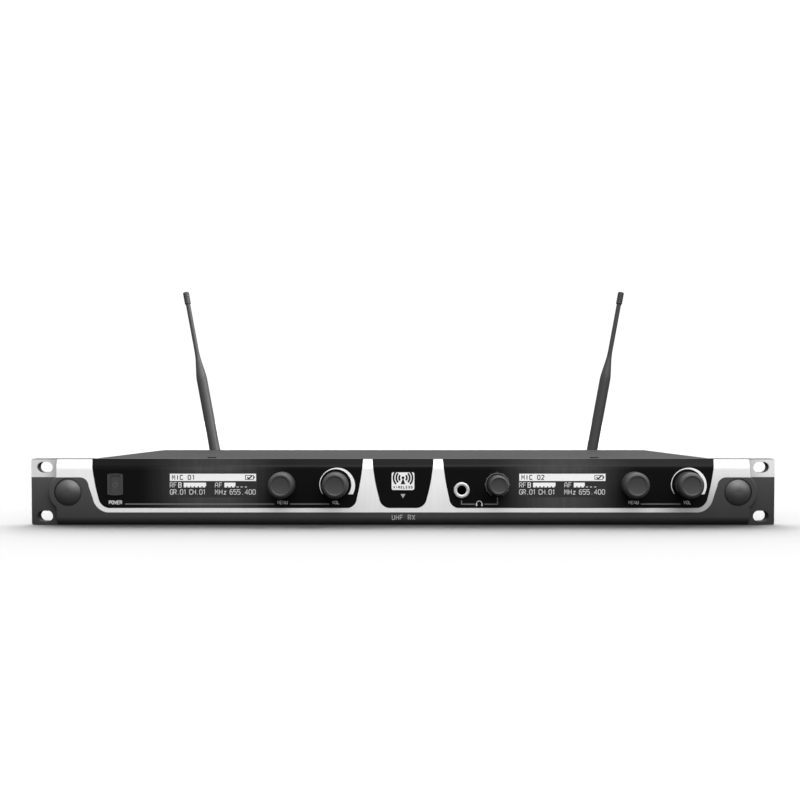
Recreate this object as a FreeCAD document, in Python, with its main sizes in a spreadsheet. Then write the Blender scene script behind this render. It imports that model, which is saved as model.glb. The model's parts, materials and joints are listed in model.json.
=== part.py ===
import FreeCAD, Part
import math
import os

import Sketcher
from FreeCAD import Placement, Rotation, Vector

# Two-channel wireless receiver, one rack unit high, as a parametric document.
# +X is to the viewer's right, +Z up, and the front faces -Y. z = 0 is the surface that the unit stands on
# and y = 0 the rack's mounting plane, the rear face of the steel ears. All lengths are in millimetres.

# Driving dimensions. Each one becomes a cell of the document's sheet, under the same name.
DIMENSIONS = {
    # front panel
    "panel_width": 482.6,
    "panel_height": 42.9,
    "slot_pitch_x": 465.1,
    "slot_pitch_z": 31.75,
    "slot_length": 10.2,
    "slot_width": 7.0,
    "plate": 2.0,  # steel sub-panel
    "ear_front": 8.0,  # front of the moulded ears, ahead of the mounting plane
    "face_front": 11.2,  # front of the raised face
    "raised_half": 224.5,  # half width of the raised face
    "bevel_low": 37.6,  # height where the face starts to lean back
    "bevel_depth": 2.6,
    "foot_round": 5.0,  # rounding along the face's lower edge
    "skin": 1.5,  # thickness of the fascia and the windows
    "floor": 1.3,  # bezel wall behind them
    "seam": 0.08,  # gap round the fascia and the windows
    "edge_round": 1.0,
    "crease_round": 7.0,
    "ear_edge": 0.4,
    "split_height": 30.9,  # where silver meets dark on the ears
    "strip_low": 8.2,  # silver strip under the windows
    "window_low": 11.05,
    # ear plugs
    "plug_x": 216.7,
    "plug_z": 21.3,
    "boss_radius": 12.8,
    "plug_radius": 8.4,
    "plug_stem": 6.2,
    # controls
    "control_z": 26.2,
    "menu_x_left": -77.9,
    "menu_x_right": 149.1,
    "volume_x_left": -43.5,
    "volume_x_right": 183.8,
    "phones_knob_x": 61.0,
    "phones_x": 37.9,
    "phones_z": 22.7,
    "knob_radius": 8.5,
    "knob_proud": 12.0,
    "small_knob_radius": 6.6,
    "knob_gap": 0.6,
    "shaft_radius": 3.0,
    "running": 0.05,  # radial clearance of a shaft in its bush
    "bush_radius": 3.5,
    "bush_front": 7.0,
    "control_depth": 6.5,  # encoders and potentiometers, front to rear
    "plug_bore": 3.2,  # bore for a 6.35 mm jack plug
    # power button and displays
    "power_x": -185.9,
    "power_z": 26.4,
    "power_width": 10.0,
    "power_height": 14.1,
    "power_travel": 1.0,
    "display_x_left": -122.8,
    "display_x_right": 103.0,
    "display_z": 26.3,
    "glass_width": 58.0,
    "glass_height": 16.6,
    # chassis
    "chassis_half": 202.0,
    "chassis_depth": 199.0,
    "cover_top": 42.8,
    "cover_sheet": 1.0,
    "tray_sheet": 1.2,
    "board": 1.6,
    "main_board_z": 7.2,
    # rear connectors
    "outlet_z": 22.0,
    "balanced_x": 70.0,
    "line_x": 36.0,
    "inlet_x": 122.0,
    # antennas
    "antenna_x": 158.55,
    "antenna_z": 22.0,
    "antenna_tilt": 10.2,
    "hinge_y": 221.0,
    "sleeve_radius": 4.5,
    "sleeve_top": 84.1,
    "taper": 17.4,
    "taper_blend": 3.0,
    "rod_radius": 1.9,
    "cap_radius": 2.6,
    "rod_top": 147.5,
    "whip_top": 158.0,
}


class Size:
    """A length that carries its number and the sheet expression that it comes from."""

    def __init__(self, number, text):
        self.number = number
        self.text = text

    def joined(self, sign, other, number):
        return Size(number, f"({self.text} {sign} {as_size(other).text})")

    def __add__(self, other):
        return self.joined("+", other, self.number + as_size(other).number)

    def __radd__(self, other):
        return as_size(other) + self

    def __sub__(self, other):
        return self.joined("-", other, self.number - as_size(other).number)

    def __rsub__(self, other):
        return as_size(other) - self

    def __mul__(self, other):
        return self.joined("*", other, self.number * as_size(other).number)

    def __rmul__(self, other):
        return as_size(other) * self

    def __truediv__(self, other):
        return self.joined("/", other, self.number / as_size(other).number)

    def __neg__(self):
        return Size(-self.number, f"(0 - {self.text})")


def as_size(value):
    return value if isinstance(value, Size) else Size(float(value), repr(float(value)))


class Sheet:
    """The document's spreadsheet: each attribute is the cell of that name, as a Size."""

    def __init__(self, document, values):
        self._values = values
        cells = document.addObject("Spreadsheet::Sheet", "Dim")
        for row, (alias, value) in enumerate(values.items(), 1):
            cells.set(f"A{row}", alias)
            cells.set(f"B{row}", str(value))
            cells.setAlias(f"B{row}", alias)
        document.recompute()

    def __getattr__(self, alias):
        return Size(self._values[alias], f"Dim.{alias}")


doc = FreeCAD.newDocument("receiver")
d = Sheet(doc, DIMENSIONS)
PARTS = {}  # node name: the document object that is written to its file
SIDES = {"left": -1, "right": 1}


# ---------------------------------------------------------------- drawing helpers


def bind(thing, path, size):
    """Set a property from the sheet."""
    thing.setExpression(path, as_size(size).text)


def new_body(label):
    body = doc.addObject("PartDesign::Body", label)
    body.Label = label
    return body


def keep(label, thing):
    """Register a finished sub-part under its node name."""
    thing.Label = label
    PARTS[label] = thing
    return thing


def place(thing, x=0, y=0, z=0):
    for axis, value in zip("xyz", (x, y, z)):
        bind(thing, f".Placement.Base.{axis}", value)
    return thing


def sketch_on(body, plane, offset=0):
    """A sketch on one of the body's origin planes, moved along the plane's normal by offset."""
    sketch = body.newObject("Sketcher::SketchObject", f"{body.Name}_sketch")
    origin = [o for o in body.Origin.OriginFeatures if o.Role == f"{plane}_Plane"][0]
    sketch.AttachmentSupport = (origin, [""])
    sketch.MapMode = "FlatFace"
    bind(sketch, ".AttachmentOffset.Base.z", offset)
    return sketch


def fix_point(sketch, geometry, position, x, y):
    """Hold one sketch point at sheet-driven coordinates."""
    for kind, size in (("DistanceX", as_size(x)), ("DistanceY", as_size(y))):
        index = sketch.addConstraint(Sketcher.Constraint(kind, geometry, position, size.number))
        sketch.setExpression(f"Constraints[{index}]", size.text)


def numbers(point):
    return Vector(as_size(point[0]).number, as_size(point[1]).number, 0)


def outline(sketch, path):
    """Draw a closed outline. path holds corner points (x, y); an item ("arc", x, y) between two corners
    is a point that the arc joining them passes through."""
    corners = []
    through = {}
    for item in path:
        if item[0] == "arc":
            through[len(corners) - 1] = item[1:]
        else:
            corners.append(item)
    ends = []
    for i, start in enumerate(corners):
        stop = corners[(i + 1) % len(corners)]
        if i in through:
            a, m, b = numbers(start), numbers(through[i]), numbers(stop)
            edge = sketch.addGeometry(Part.Arc(a, m, b), False)
            counter_clockwise = (m - a).cross(b - a).z > 0
            ends.append((edge, 1, 2) if counter_clockwise else (edge, 2, 1))
            guide = sketch.addGeometry(Part.Point(m), True)
            fix_point(sketch, guide, 1, *through[i])
            sketch.addConstraint(Sketcher.Constraint("PointOnObject", guide, 1, edge))
        else:
            edge = sketch.addGeometry(Part.LineSegment(numbers(start), numbers(stop)), False)
            ends.append((edge, 1, 2))
    for i, (edge, first, last) in enumerate(ends):
        following = ends[(i + 1) % len(ends)]
        sketch.addConstraint(Sketcher.Constraint("Coincident", edge, last, following[0], following[1]))
        fix_point(sketch, edge, first, *corners[i])


def rectangle(sketch, left, right, low, high):
    outline(sketch, [(left, low), (right, low), (right, high), (left, high)])


def centred(sketch, x, y, width, height):
    rectangle(sketch, x - width / 2, x + width / 2, y - height / 2, y + height / 2)


def circle(sketch, x, y, radius):
    size = as_size(radius)
    ring = sketch.addGeometry(Part.Circle(numbers((x, y)), Vector(0, 0, 1), size.number), False)
    fix_point(sketch, ring, 3, x, y)
    index = sketch.addConstraint(Sketcher.Constraint("Radius", ring, size.number))
    sketch.setExpression(f"Constraints[{index}]", size.text)


def stadium(sketch, x, y, length, width):
    """A slot with round ends, along x."""
    reach = (length - width) / 2
    low, high = y - width / 2, y + width / 2
    path = [(x - reach, low), (x + reach, low), ("arc", x + length / 2, y)]
    path += [(x + reach, high), (x - reach, high), ("arc", x - length / 2, y)]
    outline(sketch, path)


def draw_circles(sketch, places, radius):
    for x, y in places:
        circle(sketch, x, y, radius)


def pad(body, plane, offset, length, draw, symmetric=False):
    """Extrude what draw(sketch) draws. On XZ the pad grows towards -Y, from the plane at y = -offset."""
    sketch = sketch_on(body, plane, offset)
    draw(sketch)
    feature = body.newObject("PartDesign::Pad", f"{body.Name}_pad")
    feature.Profile = sketch
    bind(feature, "Length", length)
    if symmetric:
        feature.SideType = "Symmetric"
    doc.recompute()
    return feature


def pocket(body, plane, offset, length, draw):
    """Cut what draw(sketch) draws, against the plane's normal: on XZ towards +Y, on XY towards -Z."""
    before = body.Shape.Volume
    sketch = sketch_on(body, plane, offset)
    draw(sketch)
    feature = body.newObject("PartDesign::Pocket", f"{body.Name}_pocket")
    feature.Profile = sketch
    bind(feature, "Length", length)
    doc.recompute()
    if body.Shape.Volume > before - 1e-3:
        raise RuntimeError(f"a pocket in {body.Label} cuts nothing")
    return feature


def slab(body, y_front, y_rear, draw):
    """Material between two planes across Y."""
    return pad(body, "XZ", -as_size(y_rear), as_size(y_rear) - y_front, draw)


def cut_slab(body, y_front, y_rear, draw):
    """Material taken away between two planes across Y."""
    return pocket(body, "XZ", -as_size(y_front), as_size(y_rear) - y_front, draw)


def turned(label, path, x=0, z=0):
    """A round piece about an axis along Y. path holds (radius, y) points of the half section."""
    body = new_body(label)
    sketch = sketch_on(body, "XY")
    outline(sketch, path)
    feature = body.newObject("PartDesign::Revolution", f"{body.Name}_turn")
    feature.Profile = sketch
    feature.ReferenceAxis = (sketch, ["V_Axis"])
    feature.Angle = 360
    doc.recompute()
    return place(body, x, 0, z)


def fillet(body, radius, chosen):
    """Round the edges of the body's tip that chosen(edge) accepts."""
    tip = body.Tip
    edges = [f"Edge{i}" for i, e in enumerate(tip.Shape.Edges, 1) if chosen(e)]
    feature = body.newObject("PartDesign::Fillet", f"{body.Name}_fillet")
    feature.Base = (tip, edges)
    bind(feature, "Radius", radius)
    doc.recompute()
    return feature


def cut(label, base, *tools):
    """base less all the tools, as one Part boolean."""
    tool = tools[0]
    if len(tools) > 1:
        tool = doc.addObject("Part::MultiFuse", f"{label}_tools")
        tool.Shapes = list(tools)
    result = doc.addObject("Part::Cut", label)
    result.Base = base
    result.Tool = tool
    doc.recompute()
    return result


def common(label, *shapes):
    result = doc.addObject("Part::MultiCommon", label)
    result.Shapes = list(shapes)
    doc.recompute()
    return result


def fuse(label, *shapes):
    result = doc.addObject("Part::MultiFuse", label)
    result.Shapes = list(shapes)
    result.Refine = True
    doc.recompute()
    return result


def carrier(label, *members):
    """A compound that gives its members one more placement."""
    result = doc.addObject("Part::Compound", label)
    result.Links = list(members)
    doc.recompute()
    return result


def group(label, members):
    """Identical separate solids that share one node."""
    return keep(label, carrier(label, *members))


def rod(label, radius, length, x, y, z, axis="Y"):
    """A cylinder primitive from (x, y, z) along +Y or +Z."""
    body = doc.addObject("Part::Cylinder", label)
    bind(body, "Radius", radius)
    bind(body, "Height", length)
    if axis == "Y":
        body.Placement = Placement(Vector(), Rotation(Vector(1, 0, 0), -90))
    return place(body, x, y, z)


# ---------------------------------------------------------------- shared places

face = -d.face_front
ear = -d.ear_front
plate_front = -d.plate
cavity_front = face + d.skin + d.floor
lean = d.bevel_depth / (d.panel_height - d.bevel_low)
half_lean = math.tan(math.atan(lean.number) / 2)
crease_drop = Size(half_lean, f"tan(atan({lean.text}) / 2)")
slot_z = d.panel_height / 2
SLOTS = [(sx * d.slot_pitch_x / 2, slot_z + sz * d.slot_pitch_z / 2) for sx in (-1, 1) for sz in (-1, 1)]
MENU_X = {"left": d.menu_x_left, "right": d.menu_x_right}
VOLUME_X = {"left": d.volume_x_left, "right": d.volume_x_right}
DISPLAY_X = {"left": d.display_x_left, "right": d.display_x_right}
BUSH_X = [*MENU_X.values(), *VOLUME_X.values(), d.phones_knob_x]
M3_HOLE = as_size(1.5)
M3_SHANK = as_size(1.45)
over = as_size(2.0)  # how far cutting tools run past what they cut
COVER_SCREW_X, COVER_SCREW_Y = 127, 9
SIDE_SCREW_Y = (40, 160)
SIDE_SCREW_Z = d.cover_top - 6
PANEL_SCREW_Z = (8, 34)
panel_screw_x = d.chassis_half - 6
PAN_HEAD_RADIUS = 2.75
LOW_HEAD_RADIUS = 2.9
LOW_HEAD = 0.7  # height of the case screws' heads
RECESS_LONG, RECESS_WIDE = 2.4, 0.6  # cross recess in a screw's head
PLATE_CORNER = 1.3  # rounding of the ears' corners, seen from the front
PLUG_SEAT = 1.7  # depth of the ear plugs' seats
JACK_NOSE_RADIUS = 4.5
JACK_HOLE_RADIUS = 4.6
FRONT_WALL = 2.4  # moulding above and below the bezel's hollow
BADGE_Z, BADGE_WIDTH, BADGE_HEIGHT = 28.5, 14.7, 11.4
FLANGE_SHEET = 1.5
OUTLET_SHELL_RADIUS = 11.7
SOCKET_THREAD_RADIUS = 6.2
INLET_RADIUS = 4.2


# ---------------------------------------------------------------- front skin


def face_profile(inset):
    """Section of the raised face, across Y and Z, moved inwards by inset and open at top and bottom."""
    front = face + inset
    crease = d.bevel_low - inset * crease_drop
    top = d.panel_height + over
    top_y = front + (top - crease) * lean
    return [(front, -over), (front, crease), (top_y, top), (plate_front, top), (plate_front, -over)]


def front_form():
    """Outer form of the whole front moulding: raised face, ears and the bosses round the ear plugs."""
    raised = new_body("raised_face")
    top_y = face + d.bevel_depth
    profile = [(face, d.foot_round), (face, d.bevel_low), (top_y, d.panel_height)]
    profile += [(plate_front, d.panel_height), (plate_front, 0), (face + d.foot_round, 0)]
    middle = d.foot_round * (1 - math.sqrt(0.5))
    profile += [("arc", face + middle, middle)]
    pad(raised, "YZ", 0, d.raised_half * 2, lambda s: outline(s, profile), symmetric=True)

    def on_crease(edge):
        box = edge.BoundBox
        return box.XLength > d.raised_half.number and abs(box.ZMin - d.bevel_low.number) < 1e-3

    def on_outer_rim(edge):
        box = edge.BoundBox
        outside = max(abs(box.XMin), abs(box.XMax)) > d.raised_half.number - 1e-3
        in_front = box.YMax < face.number + d.foot_round.number + 1
        return outside and in_front and box.XLength < d.boss_radius.number

    fillet(raised, d.crease_round, on_crease)
    for side in SIDES.values():
        boss_x = side * d.plug_x
        slab(raised, face, plate_front, lambda s: circle(s, boss_x, d.plug_z, d.boss_radius))
    fillet(raised, d.edge_round, on_outer_rim)
    ears = new_body("ears")
    half = d.panel_width / 2
    slab(ears, ear, plate_front, lambda s: rectangle(s, -half, half, 0, d.panel_height))
    fillet(ears, PLATE_CORNER, lambda e: e.BoundBox.YLength > 1)
    fillet(ears, d.ear_edge, lambda e: e.BoundBox.YMax < ear.number + 1e-3)
    return fuse("front_form", raised, ears)


def inner_form():
    """The front form moved inwards by the skin's thickness; what lies between the two is skin."""
    body = new_body("inner_form")
    half = d.raised_half - d.skin
    pad(body, "YZ", 0, half * 2, lambda s: outline(s, face_profile(d.skin)), symmetric=True)
    for side in SIDES.values():
        boss_x = side * d.plug_x
        radius = d.boss_radius - d.skin
        slab(body, face + d.skin, plate_front, lambda s: circle(s, boss_x, d.plug_z, radius))
    reach = d.panel_width / 2 + over

    def ears(sketch):
        rectangle(sketch, -reach, reach, -over, d.panel_height + over)

    slab(body, ear + d.skin, plate_front, ears)
    return body


def side_window(side):
    """Outline of the wide window on one side of the pillars."""
    top = d.panel_height + over
    low = d.window_low
    path = [(side * 201.5, top), ("arc", side * 200.0, 31.5), (side * 196.9, 17.0)]
    path += [("arc", side * 194.6, 13.0), (side * 190.4, low), (side * 35.2, low)]
    path += [("arc", side * 31.9, 12.8), (side * 29.9, 17.0), ("arc", side * 27.5, 28.5)]
    path += [(side * 25.6, top)]
    return path


def centre_window():
    """Outline of the small window between the pillars."""
    top = d.panel_height + over
    low = d.window_low
    path = [(-19.9, top), ("arc", -18.1, 28.5), (-15.4, 17.0), ("arc", -13.2, 12.9), (-9.2, low)]
    path += [(9.2, low), ("arc", 13.2, 12.9), (15.4, 17.0), ("arc", 18.1, 28.5), (19.9, top)]
    return path


def silver_area():
    """Outline of the silver fascia: both ears down to the split, and the strip under the windows."""
    reach = d.panel_width / 2 + over
    top = d.panel_height + over
    split, low = d.split_height, d.strip_low
    path = [(-reach, top), (-reach, split), (-208.9, split), ("arc", -204.9, 29.2), (-203.3, 25.4)]
    path += [(-200.6, 17.2), ("arc", -197.7, 11.5), (-191.5, low), (191.5, low)]
    path += [("arc", 197.7, 11.5), (200.6, 17.2), (203.3, 25.4), ("arc", 204.9, 29.2)]
    path += [(208.9, split), (reach, split), (reach, top)]
    return path


def prism(label, path):
    """A prism through the whole front, on an outline seen from the front."""
    body = new_body(label)
    slab(body, face - over, plate_front + over, lambda s: outline(s, path))
    return body


def shrunk(label, source):
    """The same prism with its outline moved inwards by the seam."""
    edge = doc.addObject("Part::Offset2D", f"{label}_outline")
    edge.Source = [o for o in source.Group if o.isDerivedFrom("Sketcher::SketchObject")][0]
    bind(edge, "Value", -d.seam)
    edge.Join = 0
    solid = doc.addObject("Part::Extrusion", label)
    solid.Base = edge
    solid.DirMode = "Custom"
    solid.Dir = Vector(0, -1, 0)
    solid.Solid = True
    bind(solid, "LengthFwd", over + d.face_front - d.plate + over)
    doc.recompute()
    return solid


form = front_form()
inner = inner_form()
skin = cut("skin", form, inner)
areas = {
    "window_left": side_window(-1),
    "window_centre": centre_window(),
    "window_right": side_window(1),
}
seats = {name: prism(f"{name}_seat", path) for name, path in areas.items()}
silver = prism("silver_seat", silver_area())


def draw_slots(sketch):
    for x, z in SLOTS:
        stadium(sketch, x, z, d.slot_length, d.slot_width)


slot_tool = new_body("slot_tool")
slab(slot_tool, face - over, over, draw_slots)


def bowed(sketch, x, z, width, height):
    """A rectangle whose top and bottom bulge a little."""
    bow = 0.5
    left, right = x - width / 2, x + width / 2
    low, high = z - height / 2, z + height / 2
    path = [(left, low + bow), ("arc", x, low), (right, low + bow)]
    path += [(right, high - bow), ("arc", x, high), (left, high - bow)]
    outline(sketch, path)


def control_openings():
    """Tool for the holes in the windows and in the bezel behind them."""
    tool = new_body("control_tool")
    play = 0.1

    def draw(sketch):
        for x in BUSH_X:
            circle(sketch, x, d.control_z, d.bush_radius + 1)
        circle(sketch, d.phones_x, d.phones_z, JACK_HOLE_RADIUS)
        bowed(sketch, d.power_x, d.power_z, d.power_width + play, d.power_height + play)
        for x in DISPLAY_X.values():
            centred(sketch, x, d.display_z, d.glass_width + play, d.glass_height + play)

    slab(tool, face - over, cavity_front + over, draw)
    return tool


control_tool = control_openings()


def windows():
    for name, seat in seats.items():
        pane = common(f"{name}_pane", skin, shrunk(f"{name}_prism", seat))
        if name != "window_centre":
            pane = cut(name, pane, control_tool)
        keep(name, pane)


def silver_fascia():
    blank = common("fascia_blank", skin, shrunk("silver_prism", silver))
    keep("silver_fascia", cut("fascia", blank, *seats.values(), slot_tool))


def front_bezel():
    """The dark moulding: a hollow shell with seats for the fascia and the windows."""
    hollow = new_body("bezel_hollow")
    front = cavity_front
    crease = d.bevel_low - (d.skin + d.floor) * crease_drop
    high = d.panel_height - FRONT_WALL
    low, chamfer_high = 2.6, 5.6
    high_y = front + (high - crease) * lean
    section = [(front, chamfer_high), (front, crease), (high_y, high), (plate_front, high)]
    section += [(plate_front, low), (front + 1.8, low)]
    wall = 3.0
    length = (d.plug_x - d.boss_radius - wall) * 2
    pad(hollow, "YZ", 0, length, lambda s: outline(s, section), symmetric=True)
    seat = common("skin_seat", skin, silver)
    stems = new_body("plug_hole")
    holes = [(side * d.plug_x, d.plug_z) for side in SIDES.values()]
    slab(stems, face - over, plate_front, lambda s: draw_circles(s, holes, d.plug_stem + 0.1))
    slab(stems, face - over, face + PLUG_SEAT, lambda s: draw_circles(s, holes, d.plug_radius + 0.5))
    shell = cut("bezel", form, hollow, seat, slot_tool, control_tool, stems)
    keep("front_bezel", shell)


windows()
silver_fascia()
front_bezel()


def front_subpanel():
    """Steel plate with the rack ears and a flange folded back along its top."""
    body = new_body("front_subpanel")
    half = d.panel_width / 2
    slab(body, plate_front, 0, lambda s: rectangle(s, -half, half, 0, d.panel_height))

    def is_corner(edge):
        box = edge.BoundBox
        return box.XLength < 1e-3 and box.ZLength < 1e-3 and abs(box.XMin) > half.number - 1e-3

    fillet(body, PLATE_CORNER, is_corner)
    flange_top = d.cover_top - d.cover_sheet
    flange_low = flange_top - FLANGE_SHEET
    flange_half = d.chassis_half - 14
    slab(body, 0, 16, lambda s: rectangle(s, -flange_half, flange_half, flange_low, flange_top))

    def openings(sketch):
        draw_slots(sketch)
        draw_circles(sketch, [(x, d.control_z) for x in BUSH_X], d.bush_radius + 0.1)
        circle(sketch, d.phones_x, d.phones_z, JACK_HOLE_RADIUS)
        for side in SIDES.values():
            circle(sketch, side * d.plug_x, d.plug_z, d.plug_stem + 0.1)
            draw_circles(sketch, [(side * panel_screw_x, z) for z in PANEL_SCREW_Z], M3_HOLE)
        centred(sketch, d.power_x, d.power_z, 5, 5)
        for x in DISPLAY_X.values():
            centred(sketch, x, d.display_z, 34, 8)

    cut_slab(body, plate_front, 0, openings)
    tabs = [(side * COVER_SCREW_X, COVER_SCREW_Y) for side in SIDES.values()]
    pocket(body, "XY", flange_top, FLANGE_SHEET, lambda s: draw_circles(s, tabs, M3_HOLE))
    keep("front_subpanel", body)


front_subpanel()


def blanking_plug(name, side):
    """Domed plug that closes an ear's place for a front-mounted antenna."""
    radius = d.plug_radius
    seat = face + PLUG_SEAT
    crown = face - 2.2
    stem_end = 1.5
    path = [(0, crown), ("arc", radius * 0.6, crown + 0.7), (radius, face + 0.5), (radius, seat)]
    path += [(d.plug_stem, seat), (d.plug_stem, stem_end), (0, stem_end)]
    keep(name, turned(name, path, side * d.plug_x, d.plug_z))


for side_name, side_sign in SIDES.items():
    blanking_plug(f"blanking_plug_{side_name}", side_sign)


def badge():
    """Plain plate with round corners in the middle of the centre window."""
    body = new_body("badge")
    proud, corner = 0.5, 1.2
    slab(body, face - proud, face, lambda s: centred(s, 0, BADGE_Z, BADGE_WIDTH, BADGE_HEIGHT))
    fillet(body, corner, lambda e: e.BoundBox.YLength > proud / 2)
    keep("badge", body)


KEY_STEM_END = 2.0
KEY_STEM_RADIUS = 1.5
SWITCH_FRONT = 0.6


def power_frame():
    """Raised rim round the power button."""
    body = new_body("power_button_frame")
    x, z = d.power_x, d.power_z
    front = face - 0.8
    rear = face + d.skin
    rim_side, rim_end = 1.7, 1.2
    slab(body, front, rear, lambda s: bowed(s, x, z, d.power_width, d.power_height))
    fillet(body, 0.6, lambda e: e.BoundBox.YLength > 1)
    inner = (d.power_width - rim_side * 2, d.power_height - rim_end * 2)
    cut_slab(body, front, rear, lambda s: centred(s, x, z, *inner))
    keep("power_button_frame", body)


def power_button():
    """Key with a square stem that works the switch on the front board."""
    body = new_body("power_button")
    x, z = d.power_x, d.power_z
    key = (d.power_width - 3.6, d.power_height - 2.6)
    key_rear = face + 4.2
    stem_front, stem_side = -0.6, 3.2
    slab(body, face - 0.3, key_rear, lambda s: centred(s, x, z, *key))
    fillet(body, 0.5, lambda e: e.BoundBox.YLength > 1)
    slab(body, key_rear, stem_front, lambda s: centred(s, x, z, stem_side, stem_side))
    slab(body, stem_front, KEY_STEM_END, lambda s: circle(s, x, z, KEY_STEM_RADIUS))
    keep("power_button", body)


def power_switch():
    body = new_body("power_switch")
    x, z = d.power_x, d.power_z
    slab(body, SWITCH_FRONT, d.control_depth, lambda s: centred(s, x, z, 10, 10))
    floor = KEY_STEM_END + d.power_travel + 0.2
    cut_slab(body, SWITCH_FRONT, floor, lambda s: circle(s, x, z, KEY_STEM_RADIUS + d.running))
    keep("power_switch", body)


def display(name, x):
    """Display module: glass that fills its opening in the window, a carrier and its connector block."""
    body = new_body(name)
    z = d.display_z
    module_width, module_height = 68, 20
    module_rear = cavity_front + 5
    slab(body, face, cavity_front, lambda s: centred(s, x, z, d.glass_width, d.glass_height))
    slab(body, cavity_front, module_rear, lambda s: centred(s, x, z, module_width, module_height))
    slab(body, module_rear, d.control_depth, lambda s: centred(s, x, z, 30, 5))
    keep(name, body)


badge()
power_frame()
power_button()
power_switch()
for side_name in SIDES:
    display(f"display_{side_name}", DISPLAY_X[side_name])


# ---------------------------------------------------------------- rotary controls


def control_body(label, x, depth_of_bore):
    """Square housing with a threaded bush, bored for the shaft."""
    body = new_body(label)
    z = d.control_z
    slab(body, 0, d.control_depth, lambda s: centred(s, x, z, 12, 12.6))
    slab(body, -d.bush_front, 0, lambda s: circle(s, x, z, d.bush_radius))
    bore = d.shaft_radius + d.running
    cut_slab(body, -d.bush_front, depth_of_bore, lambda s: circle(s, x, z, bore))
    return body


KNOB_WEB = 2.5  # thickness of a knob's front, ahead of its shaft


def shaft(name, x, rear):
    """Control shaft from inside the knob to the rear of its bore."""
    start = face - d.knob_proud + KNOB_WEB
    keep(name, rod(name, d.shaft_radius - 0.02, rear - start, x, start, d.control_z))


def knob(name, x, radius):
    """Turned knob: a dished front disc inside a rounded shoulder, hollow behind round its hub."""
    front = face - d.knob_proud
    rear = face - d.knob_gap
    disc = radius * 0.72
    dish = front + 0.5
    wall = radius - 1.6
    hub, hollow = 4.4, rear - 4
    path = [(0, dish), (disc - 0.3, dish), (disc, front)]
    path += [("arc", radius - 0.7, front + 0.9), (radius, front + 3.2), (radius, rear)]
    path += [(wall, rear), (wall, hollow), (hub, hollow), (hub, rear)]
    path += [(d.shaft_radius, rear), (d.shaft_radius, front + KNOB_WEB), (0, front + KNOB_WEB)]
    keep(name, turned(name, path, x, d.control_z))


def controls():
    rear = as_size(2.5)
    encoder_bore, pot_bore = 5, 3
    encoders = []
    for name, x in MENU_X.items():
        encoders.append(control_body(f"encoder_body_{name}", x, encoder_bore))
        shaft(f"menu_shaft_{name}", x, rear)
        plunger = rod(f"menu_plunger_{name}", d.shaft_radius - 0.1, 1.8, x, rear, d.control_z)
        keep(f"menu_plunger_{name}", plunger)
        knob(f"menu_knob_{name}", x, d.knob_radius)
    group("encoders", encoders)
    pots = []
    for name, x in VOLUME_X.items():
        pots.append(control_body(f"volume_pot_{name}", x, pot_bore))
        shaft(f"volume_shaft_{name}", x, rear)
        knob(f"volume_knob_{name}", x, d.knob_radius)
    pots.append(control_body("phones_pot", d.phones_knob_x, pot_bore))
    shaft("headphone_shaft", d.phones_knob_x, rear)
    knob("headphone_knob", d.phones_knob_x, d.small_knob_radius)
    group("potentiometers", pots)


def hexagon(sketch, x, y, across):
    """A regular hexagon by its width across the flats."""
    reach = across / math.sqrt(3)
    corners = []
    for k in range(6):
        turn = math.radians(60 * k)
        corners.append((x + reach * math.cos(turn), y + reach * math.sin(turn)))
    outline(sketch, corners)


def nut(label, x, z, y_front, thickness, across, bore):
    body = new_body(label)

    def draw(sketch):
        hexagon(sketch, x, z, as_size(across))
        circle(sketch, x, z, bore)

    slab(body, y_front, as_size(y_front) + thickness, draw)
    return body


controls()
NUT = 2.0  # thickness of the nuts on the bushes and jacks
bush_bore = d.bush_radius + 0.03
control_nuts = []
for bush_x in BUSH_X:
    control_nuts.append(nut("control_nut", bush_x, d.control_z, plate_front - NUT, NUT, 10, bush_bore))
group("control_nuts", control_nuts)


# ---------------------------------------------------------------- jacks on the front and the rear

JACK_BODY = 14.0  # width and height of a jack's body
JACK_THREAD_FIT = 0.03


def headphone_jack():
    body = new_body("headphone_jack")
    x, z = d.phones_x, d.phones_z
    nose = face - 1.2
    rear = 24
    slab(body, 0, rear, lambda s: centred(s, x, z, JACK_BODY, JACK_BODY))
    slab(body, nose, 0, lambda s: circle(s, x, z, JACK_NOSE_RADIUS))
    cut_slab(body, nose, rear - 2, lambda s: circle(s, x, z, d.plug_bore))
    keep("headphone_jack", body)
    nose_radius = JACK_NOSE_RADIUS + JACK_THREAD_FIT
    ring_radius, lip_bore = 5.5, d.plug_bore + 0.05
    lip = nose - 0.5
    path = [(nose_radius, face), (ring_radius, face), (ring_radius, lip + 0.4)]
    path += [("arc", ring_radius - 0.15, lip + 0.12), (ring_radius - 0.4, lip), (lip_bore + 0.3, lip)]
    path += [(lip_bore, lip + 0.3), (lip_bore, nose), (nose_radius, nose)]
    keep("headphone_jack_ring", turned("headphone_jack_ring", path, x, z))


headphone_jack()

rear_face = d.chassis_depth
rear_inner = d.chassis_depth - d.tray_sheet
PIN_RING = 3.75
OUTLET_FLANGE = 2.0
OUTLET_DEPTH = 12.0  # from the rear face to the floor of the outlet's cup


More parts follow.
